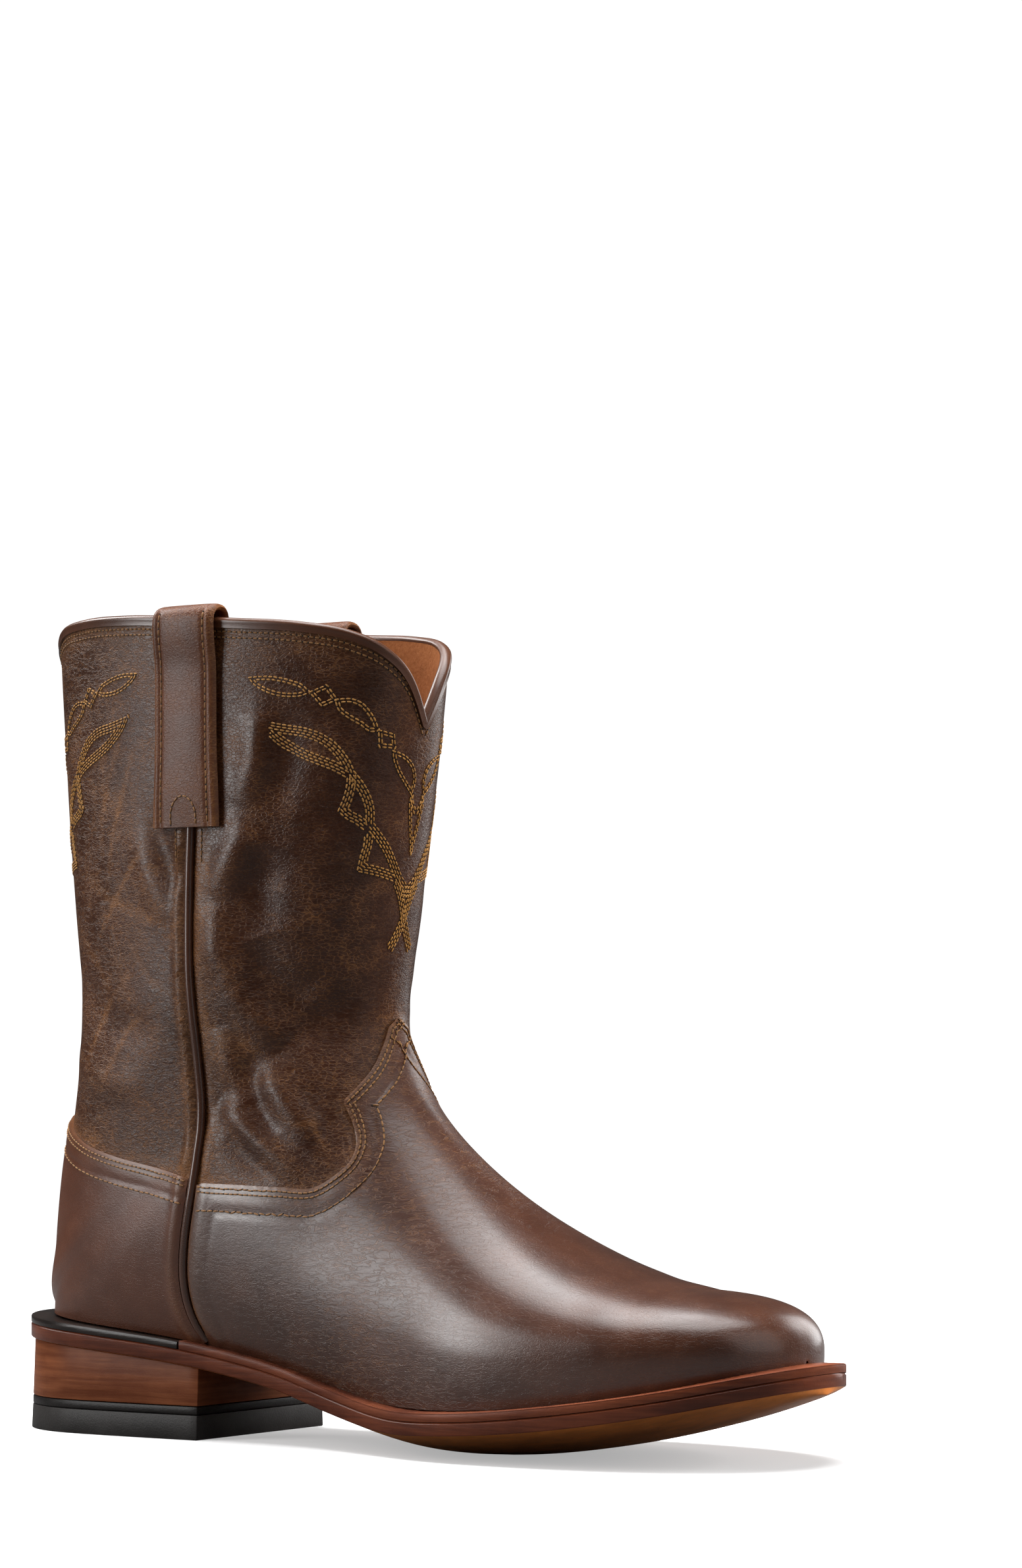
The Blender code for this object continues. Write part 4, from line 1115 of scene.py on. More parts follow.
    def panel(self, name: str, points: Array, normals: Array, faces: Array | list,
              marks: tuple[Array, Array, Array], thick: float) -> bpy.types.Object:
        """Leather panel with thickness from surface points and faces.

        Args:
            name: piece name.
            points: points in metres by row and column.
            normals: outward normals of the points.
            faces: corners of each face.
            marks: how worn, how far pulled to the lighter tone (partly painted light on the shaft's back panel) and how
                wrinkled each point is.
            thick: thickness in mm, laid inwards.

        Returns:
            The panel.
        """
        points, normals = points.reshape(-1, 3), normals.reshape(-1, 3)
        faces = [tuple(int(i) for i in face) for face in faces]
        used = np.unique(np.concatenate([np.array(face) for face in faces]))
        index = np.full(len(points), -1)
        index[used] = np.arange(len(used))
        faces = [tuple(int(index[i]) for i in face) for face in faces]
        thing = Bench.mesh(name, points[used], faces)
        for mark, values in zip(("wear", "pull", "flex"), marks):
            Bench.mark(thing, mark, np.clip(values.reshape(-1), 0, 1)[used])
        Bench.merge(thing, 1e-6)
        first = thing.data.polygons[len(thing.data.polygons) // 2]
        if first.normal @ Vector(normals[used][first.vertices[0]]) < 0:
            Bench.flip(thing)
        Bench.apply(thing, "SOLIDIFY", thickness=thick * MM, offset=-1.0, use_even_offset=False)
        Bench.smooth(thing, 50.0)
        return thing

    def trimmed(self, points: Array) -> tuple[Array, list]:
        """Part of a surface that the vamp covers, with its edge points moved onto the outline.

        Args:
            points: surface points in mm by row and column.

        Returns:
            Points by row and column, and the faces kept.
        """
        gap, covered = self.vamp_gap(points)
        flat, value = points.reshape(-1, 3), np.where(covered, -gap, gap).reshape(-1)
        ids = np.arange(gap.size).reshape(gap.shape)
        pairs = np.concatenate([np.stack([ids[:-1].ravel(), ids[1:].ravel()], 1),
                                np.stack([ids[:, :-1].ravel(), ids[:, 1:].ravel()], 1)])
        a, b = pairs[:, 0], pairs[:, 1]
        crossing = value[a] * value[b] < 0
        a, b = a[crossing], b[crossing]
        u = value[a] / (value[a] - value[b])
        near = u < 0.5
        mover, other, reach = np.where(near, a, b), np.where(near, b, a), np.where(near, u, 1 - u)
        order = np.argsort(-reach)
        target = flat.copy()
        target[mover[order]] = (flat[mover] + (flat[other] - flat[mover]) * reach[:, None])[order]
        value[mover] = 0.0
        faces = []
        for quad in grid_faces(*gap.shape).reshape(-1, 4):
            v = value[quad]
            if (v <= 0).all():
                if (v < 0).any():
                    faces.append(quad)
            elif (v < 0).any():
                k = int(np.argmin(v))
                faces.append((quad[k - 1], quad[k], quad[(k + 1) % 4]))
        return target.reshape(points.shape), faces

    def vamp(self) -> bpy.types.Object:
        """Vamp leather over the foot, with a soft dent behind the toe."""
        last = self.last
        shares = np.linspace(0.0, 1.0, 93)
        toe = -np.arccos(np.linspace(0.012, 1.0, 46)[:-1]) * 2 / math.pi
        places = np.concatenate([toe, np.linspace(0.0, 10.0, 172)])
        points, normals = self.even(*self.skin(places, shares))
        normals[0] = unit(np.array([1.0, 0.0, 0.4]))
        points, faces = self.trimmed(points)
        x, z = points[..., 0], points[..., 2]
        gap, _ = self.vamp_gap(points)
        lift = self.overlay - self.edge_dip(gap) + 0.3 * bell(x - last.seam_x(z), 5.5, 2.2)
        for crease in self.dents:
            lift = lift + crease.lift(points) * ease(gap / 12.0)
        flex = bell(x, 160.0, 34.0) + 0.1 * bell(x, 268.0, 34.0)
        return self.panel("vamp_leather", last.metres(points + normals * lift[..., None]), normals, faces,
                          (self.edge_wear(gap), 0 * gap, flex), self.overlay_thick)

    def counter(self) -> bpy.types.Object:
        """Counter leather round the heel, laid out by height above the seat and by the way round."""
        last, columns, rows = self.last, 62, 58
        places = np.concatenate([np.linspace(5.5, 9.0, 50), np.linspace(9.0, 14.5, 420)[1:]])
        levels = np.linspace(0.0, 86.0, 120)
        halves = []
        for side in Side:
            arcs = last.arcs(places, side)
            above = arcs[..., 2] - last.sole("seat", arcs[..., 0])
            strip = np.empty((len(levels), columns + 1, 3))
            for k, level in enumerate(levels):
                live = above[:, 0] <= level + 1e-9
                line = np.array([[np.interp(level, above[i], arcs[i, :, axis]) for axis in range(3)]
                                 for i in np.nonzero(live)[0]])
                if not live.all():
                    i = int(np.argmax(~live))
                    u = (level - above[i - 1, 0]) / max(above[i, 0] - above[i - 1, 0], 1e-9)
                    end = arcs[i - 1, 0] + (arcs[i, 0] - arcs[i - 1, 0]) * u
                    line = np.concatenate([line, [[end[0], 0.0, end[2]]]])
                edge = line[:, 0] - (last.seam_x(line[:, 2]) - last.seam_gap)
                first = int(np.argmax(edge < 0))
                if first > 0:
                    u = edge[first - 1] / (edge[first - 1] - edge[first])
                    line = np.concatenate([[line[first - 1] + (line[first] - line[first - 1]) * u], line[first:]])
                strip[k] = respace(line, columns + 1)
            out = np.empty((rows + 1, columns + 1, 3))
            for j in range(columns + 1):
                over = strip[:, j, 2] - np.interp(strip[:, j, 0], self.counter_top[:, 0], self.counter_top[:, 1])
                top = float(np.interp(0.0, over, levels))
                for axis in range(3):
                    out[:, j, axis] = np.interp(np.linspace(0.1, top, rows + 1), levels, strip[:, j, axis])
            halves.append(out)
        points = join_sides(halves)
        normals = unit(np.cross(np.gradient(points, axis=0), np.gradient(points, axis=1)))
        if normals[rows // 2, columns, 0] > 0:
            normals = -normals
        down = run_length(points[:, columns])[-1] * (1 - np.linspace(0, 1, rows + 1))[:, None]
        off = np.abs(points[..., 0] - last.seam_x(points[..., 2]))
        lift = self.overlay - self.edge_dip(down) - 0.5 * np.exp(-np.clip(off - last.seam_gap, 0, 9) / 1.2)
        lift = lift + 0.75 * bell(off, 5.2, 1.8)
        wear = self.edge_wear(down) + 0.25 * bell(off, 5.0, 2.2)
        quads = grid_faces(*points.shape[:2]).reshape(-1, 4)
        return self.panel("counter_leather", last.metres(points + normals * lift[..., None]), normals, quads,
                          (wear, 0 * wear, 0 * wear), self.overlay_thick)

    def lining(self) -> bpy.types.Object:
        """Lining inside the shaft and the foot."""
        shares = np.linspace(0.0, 1.0, 47)
        toe = -np.arccos(np.linspace(0.1, 1.0, 12)[:-1]) * 2 / math.pi
        places = np.concatenate([toe, np.linspace(0.0, 9.5, 48), np.linspace(10.5, self.last.shaft_row, 16)])
        points, normals = self.skin(places, shares, 34, 0.6)
        points = points - normals * (self.lining_depth - np.minimum(self.folds(points), 0.0) * 1.15)[..., None]
        points[..., 2] = np.maximum(points[..., 2], self.last.sole("seat", points[..., 0]) + 0.3)
        thing = Bench.sheet("lining", self.last.metres(points))
        Bench.merge(thing, 1e-6)
        probe = thing.data.polygons[len(thing.data.polygons) // 2]
        if probe.normal.y * probe.center.y < 0:
            Bench.flip(thing)
        Bench.apply(thing, "SOLIDIFY", thickness=0.7 * MM, offset=-1.0)
        Bench.smooth(thing, 60.0)
        return thing

    def build(self) -> dict[str, bpy.types.Object]:
        """Make and dress the leather panels."""
        made = {"shaft": self.shaft(), "vamp": self.vamp(), "counter": self.counter(), "lining": self.lining()}
        Bench.wear(made["shaft"], SHAFT, "shaft_leather", "upper")
        Bench.wear(made["vamp"], VAMP, "vamp_leather", "vamp")
        Bench.wear(made["counter"], COUNTER, "counter_leather", "counter")
        Bench.wear(made["lining"], LINING, "insole_leather")
        return made


class Ground:
    """Finished surfaces that trim and stitches are laid on."""

    def __init__(self, points: list[Vector], faces: list) -> None:
        """Index faces between points in metres."""
        self.tree = BVHTree.FromPolygons(points, faces)

    @classmethod
    def of(cls, *things: bpy.types.Object) -> "Ground":
        """Ground made by finished pieces."""
        points, faces = [], []
        for thing in things:
            base = len(points)
            points += [v.co.copy() for v in thing.data.vertices]
            faces += [tuple(base + i for i in p.vertices) for p in thing.data.polygons]
        return cls(points, faces)

    def side(self, last: Last, x: float, z: float, side: Side) -> tuple[Array, Array]:
        """Point and normal met by a level ray from one side, in metres."""
        start = last.metres(np.array([x, side.value * 150.0, z]))
        hit, normal, _, _ = self.tree.ray_cast(Vector(start), Vector((0.0, -side.value, 0.0)))
        return np.array(hit), np.array(normal)

    def near(self, point: Array) -> tuple[Array, Array]:
        """Nearest outer point and its normal, in metres."""
        hit, normal, _, _ = self.tree.find_nearest(Vector(point))
        return np.array(hit), np.array(normal)


@dataclass
class Trim:
    """Side cords, pull straps and the bound collar."""

    last: Last
    cord_radius: float = 1.45
    cord_lift: float = 0.5
    strap_x: float = 87.4
    strap_half: float = 12.6
    strap_flare: float = 0.9
    strap_thick: float = 2.6
    strap_low: float = 201.8
    strap_inner_low: float = 226.0
    strap_lift: float = 5.2
    strap_lie: float = 0.35
    strap_turn: float = 16.0
    strap_span: tuple[float, float] = (1.9, -4.6)
    bead_half: float = 2.0
    bead_top: float = 1.4
    bead_leg: float = 2.1

    def cord(self, side: Side) -> None:
        """Round cord over a side seam, from the sole to the strap."""
        heights = np.linspace(33.2, self.strap_low + 1.5, 120)
        last = self.last
        spots = [last.bare.side(last, float(last.seam_x(z)), z, side) for z in heights]
        path = settle(np.array([spot for spot, _ in spots]), 6)
        out = settle(unit(np.array([normal for _, normal in spots])), 6, turn=True)
        along = unit(np.gradient(path, axis=0))
        across = unit(np.cross(along, out))
        turn = np.linspace(0, 2 * math.pi, 15)[:-1]
        over = np.where(heights < 86.0, 0.55, 0.0) + self.cord_lift
        over = np.convolve(np.pad(over, 4, mode="edge"), np.ones(9) / 9, "valid")
        loops = (path[:, None] + across[:, None] * (self.cord_radius * MM * np.cos(turn))[None, :, None]
                 + out[:, None] * ((self.cord_radius * np.sin(turn))[None] + over[:, None])[..., None] * MM)
        thing = Bench.tube(f"piping_{side.name.lower()}", loops)
        Bench.smooth(thing, 60.0)
        Bench.mark(thing, "wear", np.full(len(thing.data.vertices), 0.08))
        Bench.wear(thing, TRIM, "trim_leather", f"side_piping_{side.name.lower()}")

    def strap(self, side: Side) -> bpy.types.Object:
        """Pull strap folded over the collar, thick with rolled edges."""
        last, base = self.last, self.last.bare
        top = float(last.collar_z(0.5))
        rise = self.strap_lift - self.strap_thick
        outer, inner = self.strap_span
        middle, reach = (outer + inner) / 2, (outer - inner) / 2
        lie, turn = self.strap_lie, top - self.strap_turn
        path = [(lie, z) for z in np.linspace(self.strap_low, turn, 26)]
        path += [(lie + (outer - lie) * float(ease((z - turn) / 12.0)), z)
                 for z in np.linspace(turn, top - 1.0, 8)[1:]]
        path += [(middle + reach * math.cos(a), top + rise * math.sin(a)) for a in np.linspace(0, math.pi, 13)]
        path += [(inner, top - 3.0), (inner + 1.6, top - 9.0), (-2.5, turn), (-2.4, top - 26.0),
                 (-2.4, self.strap_inner_low)]
        path = np.array(path)
        way = unit(np.gradient(path, axis=0))
        out = np.stack([way[:, 1], -way[:, 0]], -1)
        width = np.linspace(-1, 1, 45)
        round_off = (1 - np.abs(width) ** 9) ** (1 / 2.2)
        ring = [(w, 0.5 + 0.5 * r) for w, r in zip(width, round_off)] + \
               [(w, 0.5 - 0.5 * r) for w, r in zip(width[::-1][1:-1], round_off[::-1][1:-1])]
        loops = []
        for (n, z), (dn, dz) in zip(path, out):
            loop = []
            flare = self.strap_half + self.strap_flare * float(ease((232.0 - z) / 30.0))
            for w, depth in ring:
                x = self.strap_x + flare * w
                here, normal = base.side(last, x, min(z, top - 0.5), side)
                normal = unit(normal * np.array([1.0, 1.0, 0.0]))
                bow = 0.9 * (1 - w * w) * float(ease((z - 196.0) / 20.0)) if n > 0 else 0.0
                if n > 0 and depth >= 0.5:
                    bow += 0.5 * math.exp(-((abs(w) - 0.87) / 0.09) ** 2)
                    bow -= 0.35 * math.exp(-((abs(w) - 0.72) / 0.05) ** 2)
                push = (n + bow * (n > 0) + dn * self.strap_thick * depth) * MM
                loop.append(here + normal * push + np.array([0, 0, (z - min(z, top - 0.5)
                                                                    + dz * self.strap_thick * depth) * MM]))
            loops.append(loop)
        thing = Bench.tube(f"strap_{side.name.lower()}", settle(np.array(loops), 4))
        Bench.smooth(thing, 60.0)
        spots = last.design(Bench.spots(thing))
        edge = np.abs(np.abs(spots[:, 0] - self.strap_x) - self.strap_half)
        Bench.mark(thing, "wear", 0.4 * np.exp(-edge / 1.3) + 0.2 * np.exp(-np.abs(spots[:, 2] - 203) / 2.0))
        Bench.wear(thing, STRAP, "strap_leather", f"pull_strap_{side.name.lower()}")
        return thing

    def binding(self) -> None:
        """Rolled bead folded over the collar edge."""
        last = self.last
        shares = (1 - np.cos(np.linspace(0, math.pi, 121))) / 2
        rings = []
        for drop in (0.0, 3.0):
            halves = [last.shaft(side, shares, 2, drop)[-1] for side in Side]
            rings.append(np.concatenate([halves[0], halves[1][::-1][1:-1]]))
        edge, lower = rings
        for _ in range(2):
            edge = (np.roll(edge, 1, 0) + 2 * edge + np.roll(edge, -1, 0)) / 4
        up = unit(edge - lower)
        along = unit(np.roll(edge, -1, 0) - np.roll(edge, 1, 0))
        out = unit(np.cross(along, up))
        if out[120, 0] < 0:
            out = -out
        rise = unit(np.cross(out, along))
        rise = rise * np.sign(rise[:, 2:3])
        turn = np.linspace(-0.12 * math.pi, 1.12 * math.pi, 12)
        profile = [(-1.0 + self.bead_half * math.cos(a), self.bead_top * math.sin(a)) for a in turn]
        profile += [(-1.0 - self.bead_half * 0.92, -self.bead_leg), (-1.0 + self.bead_half * 0.92, -self.bead_leg)]
        loops = np.stack([edge + out * u + rise * v for u, v in profile], 1)
        thing = Bench.tube("binding", last.metres(loops), closed=True)
        Bench.smooth(thing, 60.0)
        Bench.mark(thing, "wear", np.full(len(thing.data.vertices), 0.16))
        Bench.wear(thing, TRIM, "trim_leather", "collar_binding")

    def build(self) -> dict[str, bpy.types.Object]:
        """Make both cords, both straps and the binding; the straps are returned by side."""
        straps = {}
        for side in Side:
            self.cord(side)
            straps[side.name] = self.strap(side)
        self.binding()
        return straps


@dataclass
class Bottom:
    """Welt, rand, outsole and heel, all from the sole outline."""

    last: Last
    welt_start: float = 81.5
    welt_width: float = 13.0
    bevel: float = 0.55
    cap_height: float = 8.2
    lift_height: float = 2.7
    heel_flare: float = 1.2
    heel_inset: float = 1.4
    heel_middle: float = 45.0
    heel_full: float = 27.0
    strip_gap: float = 0.16
    stack_gap: float = 0.12
    layer_gap: float = 0.15
    crown_fade: float = 24.0

    def strip(self, name: str, start: float, stop: float, drop: float, steps: int, rough: float) -> bpy.types.Object:
        """Strip on the outsole along the outline.

        Args:
            name: piece name.
            start: outline place of one end.
            stop: outline place of the other end.
            drop: distance of its top below the seat.
            steps: rings along it.
            rough: unevenness of its top in mm.

        Returns:
            The strip.
        """
        last = self.last
        q = np.linspace(start, stop, steps)
        x = last.outline(q)[:, 0]
        low, high = last.outsole_top(x) + self.strip_gap, last.sole("seat", x) - drop
        b = self.bevel
        wobble = rough * (np.sin(q * 911.0) + np.sin(q * 1487.0 + 1.0) + np.sin(q * 2203.0 + 2.0)) / 3
        profile = [(0.12, low), (0.0, low + 0.35 * b), (0.0, high - b), (0.3 * b, high - 0.3 * b), (b, high),
                   (3.0, high + wobble), (6.0, high - wobble), (self.welt_width, high), (self.welt_width, low)]
        loops = np.stack([np.column_stack([last.outline(q, inset), z]) for inset, z in profile], 1)
        thing = Bench.tube(name, last.metres(loops))
        Bench.smooth(thing, 42.0)
        spots = last.design(Bench.spots(thing))
        top = last.sole("seat", spots[:, 0]) - drop
        Bench.mark(thing, "tread", (np.abs(spots[:, 2] - top) < 0.3).astype(float))
        return thing

    def outsole(self) -> bpy.types.Object:
        """Leather outsole with its arch, toe spring and crowned tread."""
        last, b = self.last, self.bevel
        rings = []
        for place in np.linspace(0.0, 0.5, 170):
            x = float(last.outline(np.array([place]))[0, 0])
            top, edge = float(last.outsole_top(x)), float(last.outsole_edge(x))
            crown = float(last.sole("crown", x) * ease((x - last.breast_x - 2.0) / self.crown_fade))
            tuck = min(1.0, place * 40, (0.5 - place) * 40)
            rim = [(6.0, top), (b, top), (0.0, top - b), (0.0, edge + b), (0.4 * b, edge + 0.3 * b)]
            ring = [(*last.outline(np.array([place]), inset * tuck)[0], z) for inset, z in rim]
            one, two = (last.outline(np.array([spot]), b * tuck)[0] for spot in (place, 1 - place))
            for c in np.linspace(-1, 1, 29):
                spot = (one + two) / 2 + (two - one) / 2 * c
                ring.append((*spot, max(0.0, edge - crown * (1 - abs(c) ** 2.2))))
            ring += [(*last.outline(np.array([1 - place]), inset * tuck)[0], z) for inset, z in rim[::-1]]
            rings.append(ring)
        thing = Bench.tube("sole", last.metres(np.array(rings)))
        Bench.smooth(thing, 38.0)
        spots = last.design(Bench.spots(thing))
        Bench.mark(thing, "tread", (spots[:, 2] < last.outsole_edge(spots[:, 0]) + 0.12).astype(float))
        return thing

    def heel_layer(self, name: str, low: Array, high: Array) -> bpy.types.Object:
        """One layer of the heel: a circle drawn to the heel outline, extruded and bevelled.

        Args:
            name: piece name.
            low: heights of its bottom along x, as rows of x and z.
            high: heights of its top in the same form.

        Returns:
            The layer.
        """
        last = self.last
        steps = 84
        q = np.linspace(last.q_at(last.breast_x), -last.q_at(last.breast_x), steps)
        loops = []
        for rows in (low, high):
            level = np.interp(self.heel_middle, rows[:, 0], rows[:, 1])
            flare = self.heel_flare * (1 - min(max(level / self.heel_full, 0.0), 1.0))
            xy = last.outline(q, self.heel_inset - flare)
            loops.append(last.metres(np.column_stack([xy, np.interp(xy[:, 0], rows[:, 0], rows[:, 1])])))
        Bench.clear()
        bpy.ops.mesh.primitive_circle_add(vertices=steps, radius=0.04, fill_type="NGON")
        thing = bpy.context.object
        thing.name = thing.data.name = name
        thing.data.vertices.foreach_set("co", loops[0].ravel())
        bpy.ops.object.mode_set(mode="EDIT")
        bpy.ops.mesh.select_all(action="SELECT")
        bpy.ops.mesh.extrude_region_move(TRANSFORM_OT_translate={"value": (0.0, 0.0, 0.01)})
        bpy.ops.object.mode_set(mode="OBJECT")
        spots = Bench.spots(thing)
        for v in thing.data.vertices:
            k = int(np.argmin(np.hypot(*(loops[0][:, :2] - spots[v.index][:2]).T)))
            base = loops[0][k][2]
            v.co = loops[1][k] if spots[v.index][2] > base + 0.005 else loops[0][k]
        Bench.merge(thing, 1e-7, outward=True)
        Bench.apply(thing, "BEVEL", width=0.45 * MM, segments=2, limit_method="ANGLE", angle_limit=math.radians(50))
        Bench.smooth(thing, 40.0)
        return thing

    def build(self) -> None:
        """Make and dress the welt, the rand, the outsole and the heel."""
        last = self.last
        start = last.q_at(self.welt_start)
        Bench.wear(self.strip("welt_strip", start, 1 - start, 0.5, 420, 0.12), WELT, "welt_leather", "welt")
        end = last.q_at(self.welt_start - 0.8)
        Bench.wear(self.strip("rand_strip", -end, end, 1.0, 160, 0.0), RAND, "rand_leather", "heel_rand")
        Bench.wear(self.outsole(), SOLE, "outsole_leather", "outsole")
        x = np.linspace(0.0, last.breast_x + 2, 24)
        lift_low = self.cap_height + self.layer_gap
        stack_low = lift_low + self.lift_height + self.layer_gap

        def flat(z: float) -> Array:
            """Level plane as rows of x and z."""
            return np.column_stack([x, np.full(len(x), z)])

        stack = self.heel_layer("stack", flat(stack_low), np.column_stack([x, last.outsole_edge(x) - self.stack_gap]))
        Bench.wear(stack, STACK, "stack_leather", "heel_stack")
        Bench.wear(self.heel_layer("lift", flat(lift_low), flat(lift_low + self.lift_height)), LIFT, "lift_rubber",
                   "heel_lift")
        Bench.wear(self.heel_layer("cap", flat(0.0), flat(self.cap_height)), CAP, "cap_rubber", "heel_cap")
        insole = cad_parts["insole"]
        insole.data.materials.clear()
        insole.data.materials.append(INSOLE.material())


@dataclass
class Stitching:
    """Rows of stitches, each copied from one modelled stitch."""

    pitch: float = 2.15
    length: float = 1.92
    width: float = 0.6
    height: float = 0.5
    lift: float = 0.12
    # size and sinking of each dark bead of painted shade at a needle hole
    hole_size: tuple[float, float, float] = (0.75, 0.62, 0.34)
    hole_depth: float = 0.10

    def __post_init__(self) -> None:
        """Model one stitch and one needle hole, whose dark bead is painted shade."""
        self.one = self.bead(8, 6)
        self.hole = self.bead(6, 4)
        self.rows: dict[str, list[tuple[Array, Array, Array, float]]] = {}

    @staticmethod
    def bead(around: int, rings: int) -> tuple[Array, list[tuple[int, ...]]]:
        """Rounded stitch of unit size from a sphere, drawn long."""
        Bench.clear()
        bpy.ops.mesh.primitive_uv_sphere_add(segments=around, ring_count=rings, radius=0.5,
                                             rotation=(0.0, math.pi / 2, 0.0))
        bpy.ops.object.transform_apply(location=True, rotation=True, scale=True)
        thing = bpy.context.object
        spots = Bench.spots(thing)
        spots[:, 0] = np.sign(spots[:, 0]) * np.abs(spots[:, 0] * 2) ** 0.75 / 2
        faces = [tuple(p.vertices) for p in thing.data.polygons]
        data = thing.data
        bpy.data.objects.remove(thing, do_unlink=True)
        bpy.data.meshes.remove(data)
        return spots, faces

    def sew(self, group: str, path: Array, normals: Array, pitch: float, phase: float) -> None:
        """Lay stitches along a path.

        Args:
            group: piece the stitches join.
            path: points in metres on the leather.
            normals: outward normals.
            pitch: distance between stitches in mm.
            phase: share of a stitch by which the row starts late.
        """
        way = run_length(path) / MM
        count = max(int(way[-1] / pitch), 1)
        at = (np.arange(count) + phase) * way[-1] / count

        def along(values: Array, where: Array) -> Array:
            """Values at places along the path."""
            return np.stack([np.interp(where, way, values[:, k]) for k in range(3)], -1)

        middle, out = along(path, at), unit(along(normals, at))
        ahead = unit(along(path, at + 0.4) - along(path, at - 0.4))
        self.rows.setdefault(group, []).append((middle + out * self.lift * MM, ahead, out, pitch))

    def build(self, group: str, finish: Thread, slot: str, scale: float = 1.0) -> None:
        """Join all stitches of a group, and the dark beads of painted shade at the needle holes between them, into two
        pieces.
        """
        for name, (shape, faces), paint in ((group, self.one, finish), (group + "_holes", self.hole, SHADE)):
            points, rings = [], []
            for middle, ahead, out, pitch in self.rows[group]:
                across = unit(np.cross(out, ahead))
                size = np.array([self.length * pitch / self.pitch, self.width, self.height]) * scale * MM
                spots = middle
                # the hole bead: painted shade of the needle hole, half a stitch ahead
                if name.endswith("_holes"):
                    size = np.array(self.hole_size) * scale * MM
                    spots = middle + ahead * pitch / 2 * MM - out * self.hole_depth * MM
                local = shape * size
                part = (spots[:, None] + ahead[:, None] * local[None, :, :1] + across[:, None] * local[None, :, 1:2]
                        + out[:, None] * local[None, :, 2:])
                base = sum(len(p) for p in points)
                points.append(part.reshape(-1, 3))
                for k in range(len(middle)):
                    start = base + k * len(shape)
                    rings += [tuple(start + i for i in face) for face in faces]
            thing = Bench.mesh(name, np.concatenate(points), rings)
            Bench.merge(thing, 1e-9, outward=True)
            Bench.smooth(thing, 80.0)
            Bench.wear(thing, paint, slot)


